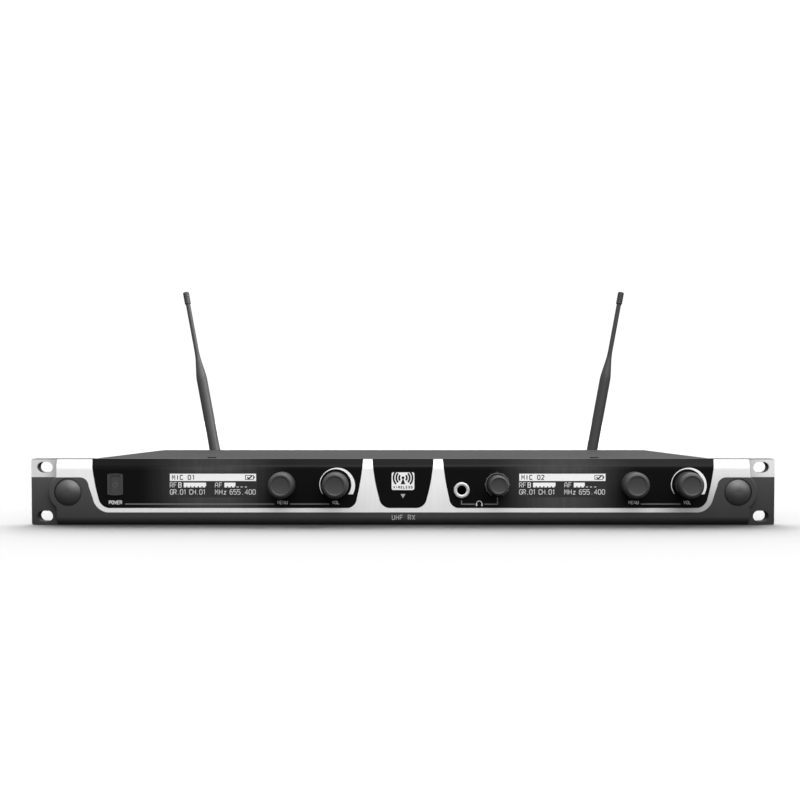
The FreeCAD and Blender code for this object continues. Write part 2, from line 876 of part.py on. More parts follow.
def balanced_output(label, x):
    """Chassis connector: oblong flange, round body and a cup that holds three pins."""
    body = new_body(label)
    z = d.outlet_z
    flange_front = rear_face + OUTLET_FLANGE
    slab(body, rear_face, flange_front, lambda s: centred(s, x, z, 26, 31))
    fillet(body, 3, lambda e: e.BoundBox.YLength > 1)
    slab(body, rear_face - 18, rear_face, lambda s: circle(s, x, z, OUTLET_SHELL_RADIUS))
    slab(body, flange_front, flange_front + 1, lambda s: circle(s, x, z, 10))
    cup = rod(f"{label}_cup", 8, OUTLET_DEPTH + 4, x, rear_face - OUTLET_DEPTH, z)
    holes = []
    for sign in (-1, 1):
        holes.append(rod(f"{label}_hole", 1.6, 3, x + sign * 9.5, rear_face, z - sign * 12))
    return cut(label, body, cup, *holes)


def balanced_pins(x):
    """Three contact pins that stand on the cup's floor."""
    pins = []
    for k, turn in enumerate((150, 30, -90)):
        px = x + PIN_RING * math.cos(math.radians(turn))
        pz = d.outlet_z + PIN_RING * math.sin(math.radians(turn))
        pins.append(rod("balanced_pin", 1.2, OUTLET_DEPTH + 1, px, rear_face - OUTLET_DEPTH, pz))
    return pins


def line_output(label, x):
    body = new_body(label)
    z = d.outlet_z
    slab(body, rear_inner - 26, rear_inner, lambda s: centred(s, x, z, JACK_BODY, JACK_BODY))
    slab(body, rear_inner, rear_face + 3, lambda s: circle(s, x, z, JACK_NOSE_RADIUS))
    bore = rod(f"{label}_bore", d.plug_bore, 28 + d.tray_sheet, x, rear_inner - 24, z)
    return cut(label, body, bore)


def rear_connectors():
    outputs = []
    pins = []
    jacks = []
    nuts = []
    nut_bore = JACK_NOSE_RADIUS + JACK_THREAD_FIT
    for name, side in SIDES.items():
        outputs.append(balanced_output(f"balanced_output_{name}", side * d.balanced_x))
        pins += balanced_pins(side * d.balanced_x)
        jacks.append(line_output(f"line_output_{name}", side * d.line_x))
        nuts.append(nut(f"line_nut_{name}", side * d.line_x, d.outlet_z, rear_face, NUT, 12.7, nut_bore))
    group("balanced_outputs", outputs)
    group("balanced_pins", pins)
    group("line_outputs", jacks)
    group("line_output_nuts", nuts)


def dc_inlet():
    """Low-voltage inlet: a cup with a centre pin."""
    body = new_body("dc_inlet")
    x, z = d.inlet_x, d.outlet_z
    rim = rear_face + 0.8
    slab(body, rear_inner - 13, rear_inner, lambda s: centred(s, x, z, 10, 11))
    slab(body, rear_inner, rim, lambda s: circle(s, x, z, INLET_RADIUS))

    def ring(sketch):
        circle(sketch, x, z, 2.9)
        circle(sketch, x, z, 1.0)

    sketch = sketch_on(body, "XZ", -rim)
    ring(sketch)
    feature = body.newObject("PartDesign::Pocket", "inlet_cup")
    feature.Profile = sketch
    feature.Length = 10
    feature.Reversed = True
    doc.recompute()
    keep("dc_inlet", body)


def cord_hook():
    """Open hook on the rear panel that takes the strain off the supply lead."""
    body = new_body("cord_hook")
    x = d.inlet_x - 15
    wall = 2
    tip = rear_face + 9
    low, high = d.outlet_z - 6, d.outlet_z + 6
    path = [(rear_face, low), (tip, low), (tip, low + 7), (tip - wall, low + 7)]
    path += [(tip - wall, low + wall), (rear_face + wall, low + wall)]
    path += [(rear_face + wall, high), (rear_face, high)]
    pad(body, "YZ", x, 6, lambda s: outline(s, path), symmetric=True)
    keep("cord_hook", body)


rear_connectors()
dc_inlet()
cord_hook()


# ---------------------------------------------------------------- chassis

VENTS = 18
VENT_PITCH = 7.0
FIRST_VENT = (40, 17)  # y and z of the foremost slot's middle
VENT_HALF = 1.25
VENT_REACH = 6.0  # half of a slot's straight sides


def chassis_tray():
    """Folded steel tray: floor, two sides with vents, and flanges behind the sub-panel."""
    body = new_body("chassis_tray")
    out = d.chassis_half - d.cover_sheet
    inside = out - d.tray_sheet
    top = d.cover_top - d.cover_sheet
    path = [(-out, 0), (out, 0), (out, top), (inside, top), (inside, d.tray_sheet)]
    path += [(-inside, d.tray_sheet), (-inside, top), (-out, top)]
    slab(body, 0, d.chassis_depth, lambda s: outline(s, path))

    flange = 8

    def flanges(sketch):
        for side in SIDES.values():
            middle = side * (inside - flange / 2)
            centred(sketch, middle, (top + d.tray_sheet) / 2, flange, top - d.tray_sheet)

    slab(body, 0, d.tray_sheet, flanges)

    def flange_holes(sketch):
        for side in SIDES.values():
            draw_circles(sketch, [(side * panel_screw_x, z) for z in PANEL_SCREW_Z], M3_HOLE)

    cut_slab(body, 0, d.tray_sheet, flange_holes)
    pocket(body, "YZ", out + 1, 2 * out + 2, side_screw_holes)
    vents = pocket(body, "YZ", out + 1, 2 * out + 2, lambda s: vent(s, *FIRST_VENT))
    rows = body.newObject("PartDesign::LinearPattern", "vent_row")
    rows.Originals = [vents]
    rows.Direction = (vents.Profile[0], ["H_Axis"])
    rows.Length = VENT_PITCH * (VENTS - 1)
    rows.Occurrences = VENTS
    body.Tip = rows
    doc.recompute()
    keep("chassis_tray", body)


def side_screw_holes(sketch):
    draw_circles(sketch, [(y, SIDE_SCREW_Z) for y in SIDE_SCREW_Y], M3_HOLE)


def vent(sketch, y, z):
    """One upright ventilation slot in the tray's sides."""
    near, far = y - VENT_HALF, y + VENT_HALF
    low, high = z - VENT_REACH, z + VENT_REACH
    path = [(near, low), ("arc", y, low - VENT_HALF), (far, low), (far, high)]
    path += [("arc", y, high + VENT_HALF), (near, high)]
    outline(sketch, path)


def top_cover():
    """Flat steel cover with side lips outside the tray, screwed down along the front and the sides."""
    body = new_body("top_cover")
    half, sheet, top = d.chassis_half, d.cover_sheet, d.cover_top
    lip = top - 12
    path = [(-half, lip), (-half + sheet, lip), (-half + sheet, top - sheet), (half - sheet, top - sheet)]
    path += [(half - sheet, lip), (half, lip), (half, top), (-half, top)]
    slab(body, 0, d.chassis_depth, lambda s: outline(s, path))

    def is_long_ridge(edge):
        box = edge.BoundBox
        return box.YLength > 100 and box.ZMin > top.number - 1e-3

    fillet(body, 0.8, is_long_ridge)
    holes = [(side * COVER_SCREW_X, COVER_SCREW_Y) for side in SIDES.values()]
    pocket(body, "XY", top, sheet, lambda s: draw_circles(s, holes, M3_HOLE))
    pocket(body, "YZ", half + 1, half * 2 + 2, side_screw_holes)
    keep("top_cover", body)


def rear_panel():
    body = new_body("rear_panel")
    half = d.chassis_half - d.cover_sheet - d.tray_sheet
    top = d.cover_top - d.cover_sheet
    slab(body, rear_inner, rear_face, lambda s: rectangle(s, -half, half, d.tray_sheet, top))
    play = 0.1

    def openings(sketch):
        for side in SIDES.values():
            circle(sketch, side * d.balanced_x, d.outlet_z, OUTLET_SHELL_RADIUS + play)
            circle(sketch, side * d.line_x, d.outlet_z, JACK_NOSE_RADIUS + play)
            circle(sketch, side * d.antenna_x, d.antenna_z, SOCKET_THREAD_RADIUS + play)
        circle(sketch, d.inlet_x, d.outlet_z, INLET_RADIUS + play)

    cut_slab(body, rear_inner, rear_face, openings)
    keep("rear_panel", body)


chassis_tray()
top_cover()
rear_panel()


# ---------------------------------------------------------------- boards and what stands on them

POSTS = [(x, y) for x in (-180, 0, 180) for y in (24, 168)]
board_top = d.main_board_z + d.board
front_board_y = d.control_depth
CAN_HEIGHT = 8.0
PAN_HEAD = 1.8
SOCKET_TAIL = 15.0  # how far an antenna socket reaches in behind the rear face


def boards():
    front = new_body("front_board")
    slab(front, front_board_y, front_board_y + d.board, lambda s: rectangle(s, -188, 196, 6, 38))

    def clearances(sketch):
        centred(sketch, d.phones_x, d.phones_z, 15, 15)

    cut_slab(front, front_board_y, front_board_y + d.board, clearances)
    keep("front_board", front)
    main = new_body("main_board")
    pad(main, "XY", d.main_board_z, d.board, lambda s: rectangle(s, -190, 190, 14, 178))
    pocket(main, "XY", board_top, d.board, lambda s: draw_circles(s, POSTS, M3_HOLE))
    keep("main_board", main)


def radio_modules():
    """Screened radio modules: folded cans that stand on the main board near the antennas."""
    length, depth, middle_y, wall = 52, 40, 136, 0.6
    cans = []
    for name, side in SIDES.items():
        can = new_body(f"radio_can_{name}")
        x = side * (d.antenna_x - 6)
        pad(can, "XY", board_top, CAN_HEIGHT, lambda s: centred(s, x, middle_y, length, depth))
        sketch = sketch_on(can, "XY", board_top)
        centred(sketch, x, middle_y, length - 2 * wall, depth - 2 * wall)
        feature = can.newObject("PartDesign::Pocket", "can_inside")
        feature.Profile = sketch
        feature.Length = CAN_HEIGHT - wall
        feature.Reversed = True
        cans.append(can)
    group("radio_modules", cans)


def standoffs():
    posts = []
    screws = []
    for i, (x, y) in enumerate(POSTS):
        post = new_body(f"standoff_{i}")
        height = d.main_board_z - d.tray_sheet
        pad(post, "XY", d.tray_sheet, height, lambda s: circle(s, x, y, 2.8))
        pocket(post, "XY", d.main_board_z, 5, lambda s: circle(s, x, y, M3_HOLE))
        posts.append(post)
        screws.append(screw(f"board_screw_{i}", x, y, board_top, 5.5))
    group("standoffs", posts)
    group("board_screws", screws)


def screw(label, x, y, seat_z, length):
    """Pan-head screw that stands on seat_z, with its shank down and a cross recess in its head."""
    body = new_body(label)
    top = seat_z + PAN_HEAD
    pad(body, "XY", seat_z, PAN_HEAD, lambda s: circle(s, x, y, PAN_HEAD_RADIUS))
    fillet(body, 0.7, lambda e: e.BoundBox.ZMin > top.number - 0.1)
    pad(body, "XY", seat_z - length, length, lambda s: circle(s, x, y, M3_SHANK))
    for width, height in ((RECESS_LONG, RECESS_WIDE), (RECESS_WIDE, RECESS_LONG)):
        pocket(body, "XY", top, 0.9, lambda s: centred(s, as_size(x), as_size(y), width, height))
    return body


def cover_screw(label, x, y):
    """Low-head screw through the cover's front edge into the sub-panel's flange."""
    body = new_body(label)
    head_top = d.cover_top + LOW_HEAD
    shank = 2.4
    pad(body, "XY", d.cover_top, LOW_HEAD, lambda s: circle(s, x, y, LOW_HEAD_RADIUS))
    pad(body, "XY", d.cover_top - shank, shank, lambda s: circle(s, x, y, M3_SHANK))
    pocket(body, "XY", head_top, 0.5, lambda s: centred(s, as_size(x), as_size(y), RECESS_LONG, RECESS_WIDE))
    return body


def side_screw(label, side, y):
    """Low-head screw through the cover's lip into the tray's side."""
    body = new_body(label)
    wall = side * d.chassis_half
    z = SIDE_SCREW_Z
    shank = 2.6
    head_middle = wall + side * LOW_HEAD / 2
    shank_middle = wall - side * shank / 2
    pad(body, "YZ", head_middle, LOW_HEAD, lambda s: circle(s, y, z, LOW_HEAD_RADIUS), symmetric=True)
    pad(body, "YZ", shank_middle, shank, lambda s: circle(s, y, z, M3_SHANK), symmetric=True)
    return body


def panel_screw(label, x, z):
    """Screw behind the bezel, through the sub-panel into one of the tray's flanges."""
    body = new_body(label)
    slab(body, plate_front - 1.6, plate_front, lambda s: circle(s, x, z, PAN_HEAD_RADIUS))
    slab(body, plate_front, 3.2, lambda s: circle(s, x, z, M3_SHANK))
    return body


def case_screws():
    screws = []
    for name, side in SIDES.items():
        screws.append(cover_screw(f"cover_screw_{name}", side * COVER_SCREW_X, COVER_SCREW_Y))
        for y in SIDE_SCREW_Y:
            screws.append(side_screw(f"side_screw_{name}", side, y))
        for z in PANEL_SCREW_Z:
            screws.append(panel_screw(f"panel_screw_{name}", side * panel_screw_x, z))
    group("case_screws", screws)


def ribbon_cable():
    """Flat cable from the rear of the front board down to the main board."""
    body = new_body("ribbon_cable")
    y0 = front_board_y + d.board
    path = [(y0, 16), (y0 + 6, 16), (y0 + 14, board_top), (y0 + 16, board_top), (y0 + 6.4, 17), (y0, 17)]
    middle, width = -30, 40
    pad(body, "YZ", middle, width, lambda s: outline(s, path), symmetric=True)
    keep("ribbon_cable", body)


def antenna_lead(label, side):
    """Coaxial lead from an antenna socket forward, then down in one bend to the radio can."""
    x = side * d.antenna_x.number
    start = Vector(x, d.chassis_depth.number - SOCKET_TAIL, d.antenna_z.number)
    bend, radius = 3.5, 0.9
    corner = start + Vector(0, -38, 0)
    down = Vector(x, corner.y, board_top.number + CAN_HEIGHT)
    before, after = corner + Vector(0, bend, 0), corner + Vector(0, 0, -bend)
    inset = bend * (1 - math.sqrt(0.5))
    curves = [Part.LineSegment(start, before)]
    curves.append(Part.Arc(before, corner + Vector(0, inset, -inset), after))
    curves.append(Part.LineSegment(after, down))
    path = Part.Wire([curve.toShape() for curve in curves])
    section = Part.Wire([Part.Circle(start, Vector(0, 1, 0), radius).toShape()])
    lead = doc.addObject("Part::Feature", label)
    lead.Shape = path.makePipeShell([section], True, False)
    return lead


boards()
radio_modules()
standoffs()
case_screws()
ribbon_cable()
group("antenna_leads", [antenna_lead(f"antenna_lead_{n}", s) for n, s in SIDES.items()])


# ---------------------------------------------------------------- antennas

BARREL_END = 12.0  # how far a socket's barrel stands out of the rear panel


def turn_out(thing, side):
    """Stand an antenna piece on its socket's axis and lean it outwards about that axis."""
    turn = Rotation(Vector(0, side, 0), d.antenna_tilt.number)
    thing.Placement = Placement(Vector(), turn)
    place(thing, side * d.antenna_x, 0, d.antenna_z)
    bind(thing, ".Placement.Rotation.Angle", d.antenna_tilt)
    return thing


def antenna_socket(label, side):
    """Bayonet socket through the rear panel, with two studs and a spring contact in its middle."""
    y = rear_face
    tail, thread_end = y - SOCKET_TAIL, y - 11
    barrel_end, barrel, bore = y + BARREL_END, 4.8, 4.0
    contact, contact_end = 0.8, y + 9
    path = [(contact, tail), (contact, thread_end), (SOCKET_THREAD_RADIUS, thread_end)]
    path += [(SOCKET_THREAD_RADIUS, y), (7.6, y), (7.6, y + 1.8), (barrel, y + 1.8)]
    path += [(barrel, barrel_end), (bore, barrel_end), (bore, y + 4), (contact, y + 4)]
    path += [(contact, contact_end), (0, contact_end), (0, tail)]
    tube = turned(f"{label}_barrel", path, side * d.antenna_x, d.antenna_z)
    studs = []
    for k in (-1, 1):
        stud = doc.addObject("Part::Cylinder", f"{label}_stud")
        bind(stud, "Radius", 0.9)
        bind(stud, "Height", 1.2)
        stud.Placement = Placement(Vector(), Rotation(Vector(0, 1, 0), 90))
        place(stud, side * d.antenna_x + (4.3 if k > 0 else -5.5), y + 8.5, d.antenna_z)
        studs.append(stud)
    return fuse(label, tube, *studs)


def coupling(name, side):
    """Bayonet coupling ring that turns on the plug and clears the socket's studs."""
    y = rear_face + 2.2
    path = [(5.7, y), (7.0, y), (7.4, y + 0.5), (7.4, y + 3), (7.0, y + 3.4), (7.0, y + 9.6)]
    path += [(6.5, y + 12), (5.0, y + 12), (5.0, y + 10.2), (5.7, y + 10.2)]
    ring = turned(f"{name}_blank", path)
    grips = new_body(f"{name}_grips")
    hub = 7.35

    def flutes(sketch):
        for k in range(12):
            turn = math.radians(30 * k)
            circle(sketch, hub * math.cos(turn), hub * math.sin(turn), 0.75)

    slab(grips, y + 4.2, y + 9, flutes)
    keep(name, turn_out(cut(name, ring, grips), side))


def plug_body(name, side):
    """Plug that enters the socket, and the fork that carries the whip's hinge."""
    y = rear_face
    stop = d.hinge_y
    path = [(1.3, y + 4.4), (3.9, y + 4.4), (3.9, y + 12.3), (4.9, y + 12.3), (4.9, y + 14.6)]
    path += [(6.2, y + 14.6), (6.2, y + 16.8), (0, y + 16.8), (0, y + 12), (1.3, y + 12)]
    stem = turned(f"{name}_stem", path)
    fork = new_body(f"{name}_fork")
    reach = 4.8

    def cheek(sketch):
        low = y + 15.5
        tip = ("arc", stop + reach, 0)
        outline(sketch, [(low, -reach), (stop, -reach), tip, (stop, reach), (low, reach)])

    pad(fork, "YZ", 0, 10.4, cheek, symmetric=True)
    gap = doc.addObject("Part::Box", f"{name}_gap")
    bind(gap, "Length", 5.4)
    bind(gap, "Width", 14)
    bind(gap, "Height", 14)
    place(gap, -2.7, y + 16.8, -7)
    hole = doc.addObject("Part::Cylinder", f"{name}_hole")
    bind(hole, "Radius", 1.22)
    bind(hole, "Height", 12)
    hole.Placement = Placement(Vector(), Rotation(Vector(0, 1, 0), 90))
    place(hole, -6, stop, 0)
    joined = fuse(f"{name}_joined", stem, fork)
    keep(name, turn_out(cut(name, joined, gap, hole), side))


def hinge_pin(name, side):
    pin = doc.addObject("Part::Cylinder", f"{name}_blank")
    bind(pin, "Radius", 1.2)
    bind(pin, "Height", 10.8)
    pin.Placement = Placement(Vector(), Rotation(Vector(0, 1, 0), 90))
    place(pin, -5.4, d.hinge_y, 0)
    keep(name, turn_out(carrier(name, pin), side))


def upright(label, path):
    """A round piece about the whip's axis: path holds (radius, height) points."""
    body = new_body(label)
    sketch = sketch_on(body, "XZ")
    outline(sketch, path)
    feature = body.newObject("PartDesign::Revolution", f"{label}_turn")
    feature.Profile = sketch
    feature.ReferenceAxis = (sketch, ["V_Axis"])
    feature.Angle = 360
    doc.recompute()
    return place(body, 0, d.hinge_y, 0)


def sleeve(name, side):
    """Moulded sleeve: hinge tongue, thick lower part and the taper down to the thin whip."""
    foot = 5.4
    r = d.sleeve_radius
    bore = d.rod_radius + 0.02
    neck = bore + 0.12
    low, high, blend = d.sleeve_top, d.sleeve_top + d.taper, d.taper_blend
    slope = (r - neck) / d.taper
    path = [(0, foot), (r - 0.4, foot), (r, foot + 0.4)]
    path += [(r, low - blend), ("arc", r - slope * blend / 4, low), (r - slope * blend, low + blend)]
    path += [(neck + slope * blend, high - blend), ("arc", neck + slope * blend / 4, high)]
    path += [(neck, high + blend), (bore, high + blend), (bore, low - 10), (0, low - 10)]
    tongue = new_body(f"{name}_tongue")
    y, reach = d.hinge_y, 4.1

    def draw(sketch):
        tip = ("arc", y, -reach)
        outline(sketch, [(y - reach, 0), tip, (y + reach, 0), (y + reach, 6.2), (y - reach, 6.2)])
        circle(sketch, y, 0, 1.25)

    pad(tongue, "YZ", 0, 5.2, draw, symmetric=True)
    keep(name, turn_out(fuse(name, upright(f"{name}_stem", path), tongue), side))


def whip(name, side):
    """Thin whip with a ribbed cap at its tip."""
    r = d.rod_radius
    cap = d.cap_radius
    groove = cap - 0.2
    path = [(0, d.sleeve_top - 9), (r, d.sleeve_top - 9), (r, d.rod_top), (cap - 0.4, d.rod_top)]
    for k in range(5):
        low = d.rod_top + 0.5 + 1.9 * k
        path += [(cap, low), (cap, low + 1.3), (groove, low + 1.45), (groove, low + 1.75)]
    path += [(cap - 0.1, d.whip_top - 0.5), (cap - 0.8, d.whip_top), (0, d.whip_top)]
    keep(name, turn_out(carrier(name, upright(f"{name}_rod", path)), side))


SOCKET_NUT = 2.5
socket_bore = SOCKET_THREAD_RADIUS + 0.03
sockets = []
socket_nuts = []
for side_name, side_sign in SIDES.items():
    sockets.append(antenna_socket(f"antenna_socket_{side_name}", side_sign))
    nut_x = side_sign * d.antenna_x
    seat_y = rear_inner - SOCKET_NUT
    socket_nuts.append(nut("socket_nut", nut_x, d.antenna_z, seat_y, SOCKET_NUT, 15, socket_bore))
    coupling(f"antenna_coupling_{side_name}", side_sign)
    plug_body(f"antenna_plug_{side_name}", side_sign)
    hinge_pin(f"antenna_hinge_pin_{side_name}", side_sign)
    sleeve(f"antenna_sleeve_{side_name}", side_sign)
    whip(f"antenna_whip_{side_name}", side_sign)
group("antenna_sockets", sockets)
group("antenna_socket_nuts", socket_nuts)


# ---------------------------------------------------------------- checks and files


def check():
    """Stop if any object failed, or if a sub-part has no valid shape."""
    doc.recompute()
    failed = [o.Label for o in doc.Objects if {"Invalid", "Error"} & set(o.State)]
    if failed:
        raise RuntimeError(f"failed objects: {failed}")
    for name, thing in PARTS.items():
        shape = thing.Shape
        if shape.isNull() or not shape.isValid() or not shape.Solids:
            raise RuntimeError(f"{name} has no valid shape")


def write():
    os.makedirs("parts", exist_ok=True)
    for name, thing in PARTS.items():
        thing.Shape.exportStep(f"parts/{name}.step")
        print(f"{name}: {len(thing.Shape.Solids)} solids, {thing.Shape.Volume:.0f} mm3")
    print(len(PARTS), "sub-parts")


check()
write()
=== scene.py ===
"""Looks of the wireless receiver unit: stage, camera, finishes and fine pieces over its CAD model."""

import json
import math

import bmesh
import bpy
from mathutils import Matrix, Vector


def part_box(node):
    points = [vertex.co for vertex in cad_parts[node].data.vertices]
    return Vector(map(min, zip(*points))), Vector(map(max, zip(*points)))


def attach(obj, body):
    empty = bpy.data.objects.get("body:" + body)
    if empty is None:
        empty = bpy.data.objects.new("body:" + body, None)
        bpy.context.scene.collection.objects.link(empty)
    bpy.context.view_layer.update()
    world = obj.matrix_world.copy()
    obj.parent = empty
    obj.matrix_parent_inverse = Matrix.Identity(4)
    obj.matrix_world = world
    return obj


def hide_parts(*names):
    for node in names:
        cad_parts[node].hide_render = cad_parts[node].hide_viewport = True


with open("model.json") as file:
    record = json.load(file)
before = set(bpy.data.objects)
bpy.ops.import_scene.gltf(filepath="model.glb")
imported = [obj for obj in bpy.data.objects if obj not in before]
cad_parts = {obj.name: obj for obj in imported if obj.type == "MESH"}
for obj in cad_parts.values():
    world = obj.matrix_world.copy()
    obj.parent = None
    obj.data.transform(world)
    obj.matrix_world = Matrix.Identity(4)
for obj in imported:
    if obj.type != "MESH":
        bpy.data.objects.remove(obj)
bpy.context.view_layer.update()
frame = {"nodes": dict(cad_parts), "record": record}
MM = 0.001


# ---------------------------------------------------------------- places read from the frame


def centre(node):
    """Middle of a node's box, in metres."""
    low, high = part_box(node)
    return (low + high) / 2


def spot(node):
    """Middle of a node as the front shows it: x and z, in millimetres."""
    middle = centre(node)
    return middle.x / MM, middle.z / MM


SIDES = ("left", "right")
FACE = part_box("window_centre")[0].y
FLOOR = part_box("chassis_tray")[0].z
CREASE = 37.6 * MM  # height about which the face starts to lean back
RAISED_HALF = 224.5 * MM  # half width of the raised face, between the ears
EDGE_SHADE_TOP = 42.55 * MM  # where the painted shade strip starts, just under the moulding's top edge
INK = 0.03 * MM  # thickness of one printed layer


# ---------------------------------------------------------------- node helpers


class Finish:
    """A node material under construction: a principled shader and short calls that feed it."""

    def __init__(self, name, colour, roughness, metallic=0.0, specular=0.5):
        self.material = bpy.data.materials.new(name)
        self.material.use_nodes = True
        self.tree = self.material.node_tree
        self.shader = self.tree.nodes["Principled BSDF"]
        self.colour = (*as_colour(colour), 1)
        self.set("Base Color", self.colour)
        self.set("Roughness", roughness)
        self.set("Metallic", metallic)
        self.set("Specular IOR Level", specular)
        self.place = self.node("ShaderNodeTexCoord").outputs["Object"]

    def set(self, name, value):
        self.shader.inputs[name].default_value = value

    def node(self, kind, **settings):
        made = self.tree.nodes.new(kind)
        for key, value in settings.items():
            setattr(made, key, value)
        return made

    def link(self, source, target):
        self.tree.links.new(source, target)

    def feed(self, node, name, value):
        """Give a node's input a number or another node's output."""
        if isinstance(value, bpy.types.NodeSocket):
            self.link(value, node.inputs[name])
        else:
            node.inputs[name].default_value = value

    def texture(self, kind, scale, **settings):
        """A texture over object coordinates in millimetres, times a scale, which may differ by axis."""
        mapping = self.node("ShaderNodeMapping")
        self.link(self.place, mapping.inputs["Vector"])
        scales = scale if isinstance(scale, tuple) else (scale, scale, scale)
        mapping.inputs["Scale"].default_value = [s / MM for s in scales]
        made = self.node(kind, **settings)
        self.link(mapping.outputs["Vector"], made.inputs["Vector"])
        made.inputs["Scale"].default_value = 1.0
        return made

    def noise(self, scale, detail=2.0, roughness=0.5):
        made = self.texture("ShaderNodeTexNoise", scale)
        made.inputs["Detail"].default_value = detail
        made.inputs["Roughness"].default_value = roughness
        return made.outputs["Fac"]

    def axis(self, name):
        """One object coordinate in metres."""
        split = self.node("ShaderNodeSeparateXYZ")
        self.link(self.place, split.inputs["Vector"])
        return split.outputs[name]

    def math(self, operation, a, b=0.0):
        made = self.node("ShaderNodeMath", operation=operation)
        self.feed(made, 0, a)
        self.feed(made, 1, b)
        return made.outputs[0]

    def times(self, first, *others):
        """Product of several values."""
        product = first
        for other in others:
            product = self.math("MULTIPLY", product, other)
        return product

    def between(self, value, low, high, to_low, to_high, smooth=False):
        """Map value from one range to another, held at the ends."""
        made = self.node("ShaderNodeMapRange", clamp=True)
        if smooth:
            made.interpolation_type = "SMOOTHSTEP"
        self.feed(made, "Value", value)
        self.feed(made, "From Min", low)
        self.feed(made, "From Max", high)
        self.feed(made, "To Min", to_low)
        self.feed(made, "To Max", to_high)
        return made.outputs["Result"]

    def vary(self, noise, low, high):
        """Spread the middle of a noise's range over low to high."""
        return self.between(noise, 0.3, 0.7, low, high)

    def neutral(self, value):
        """A grey from one value."""
        combine = self.node("ShaderNodeCombineColor")
        for channel in ("Red", "Green", "Blue"):
            self.link(value, combine.inputs[channel])
        return combine.outputs["Color"]

    def tone(self, factor):
        """Base colour times a factor."""
        mix = self.node("ShaderNodeMix", data_type="RGBA", blend_type="MULTIPLY")
        mix.inputs["Factor"].default_value = 1.0
        mix.inputs["A"].default_value = self.colour
        self.link(self.neutral(factor), mix.inputs["B"])
        self.link(mix.outputs["Result"], self.shader.inputs["Base Color"])

    def gloss(self, noise, low, high):
        """Roughness that follows a noise."""
        self.link(self.vary(noise, low, high), self.shader.inputs["Roughness"])

    def bump(self, height, strength, depth_mm):
        made = self.node("ShaderNodeBump")
        made.inputs["Strength"].default_value = strength
        made.inputs["Distance"].default_value = depth_mm * MM
        self.link(height, made.inputs["Height"])
        self.link(made.outputs["Normal"], self.shader.inputs["Normal"])


def as_colour(colour):
    """A colour as three numbers. One number means a neutral grey."""
    return colour if isinstance(colour, tuple) else (colour, colour, colour)


# ---------------------------------------------------------------- finishes


def grained(name, colour, roughness, grain, depth=0.02):
    """A moulded or painted surface: fine grain in the relief, slow change in colour and gloss."""
    made = Finish(name, colour, roughness)
    made.tone(made.vary(made.noise(0.05, 3), 0.92, 1.08))
    fine = made.noise(grain)
    made.gloss(fine, roughness - 0.05, roughness + 0.05)
    made.bump(fine, 0.5, depth)
    return made.material


def silver_shade(made):
    """Painted shade over the silver: darker at the foot, the right end, on the ears (the left one most)
    and in the ears' inner corners next to the step.
    """
    x, z = made.axis("X"), made.axis("Z")
    height = made.between(z, 6 * MM, 30 * MM, 0.86, 1.04)
    right = made.between(x, 60 * MM, 210 * MM, 1.0, 0.88)
    arm = made.between(x, 160 * MM, 205 * MM, 1.0, 0.0)
    foot = made.math("MAXIMUM", arm, made.between(z, 14 * MM, 34 * MM, 0.6, 1.0))
    out = made.math("ABSOLUTE", x)
    raised = made.between(out, RAISED_HALF - 0.1 * MM, RAISED_HALF + 0.1 * MM, 1.0, 0.0)
    nook = made.between(out, RAISED_HALF, RAISED_HALF + 10 * MM, 0.66, 1.0)
    ears = made.times(nook, made.between(x, -200 * MM, 200 * MM, 0.8, 0.97))
    return made.times(height, right, made.math("MAXIMUM", raised, ears), foot)


def silver_finish():
    """Silver fascia: upright brushing, the painted shade of silver_shade, and a painted dark shade strip
    along the moulding's top edge, where the seam under the cover falls into shadow.
    """
    made = Finish("silver", 0.9, 0.36, metallic=0.05)
    streaks = made.noise((2.2, 2.2, 0.05), 3, 0.6)
    # painted shade: a dark strip along the top edge, standing in for the shadowed seam under the cover
    edge_shade = made.between(made.axis("Z"), EDGE_SHADE_TOP - 0.2 * MM, EDGE_SHADE_TOP, 1.0, 0.14)
    made.tone(made.times(silver_shade(made), edge_shade, made.vary(streaks, 0.95, 1.03)))
    made.gloss(streaks, 0.32, 0.42)
    made.bump(streaks, 0.25, 0.01)
    return made.material


def moulding_finish():
    """Dark moulding: satin plastic, with painted shade that makes it darker towards the foot and the right
    end.
    """
    made = Finish("dark_moulding", 0.06, 0.5, specular=0.4)
    # painted shade: darker low down and towards the right end
    height = made.between(made.axis("Z"), 4 * MM, 31 * MM, 0.5, 1.15)
    right = made.between(made.axis("X"), 90 * MM, 200 * MM, 1.0, 0.74)
    made.tone(made.times(height, right, made.vary(made.noise(0.06, 3), 0.94, 1.06)))
    fine = made.noise(5)
    made.gloss(fine, 0.46, 0.56)
    made.bump(fine, 0.4, 0.015)
    return made.material


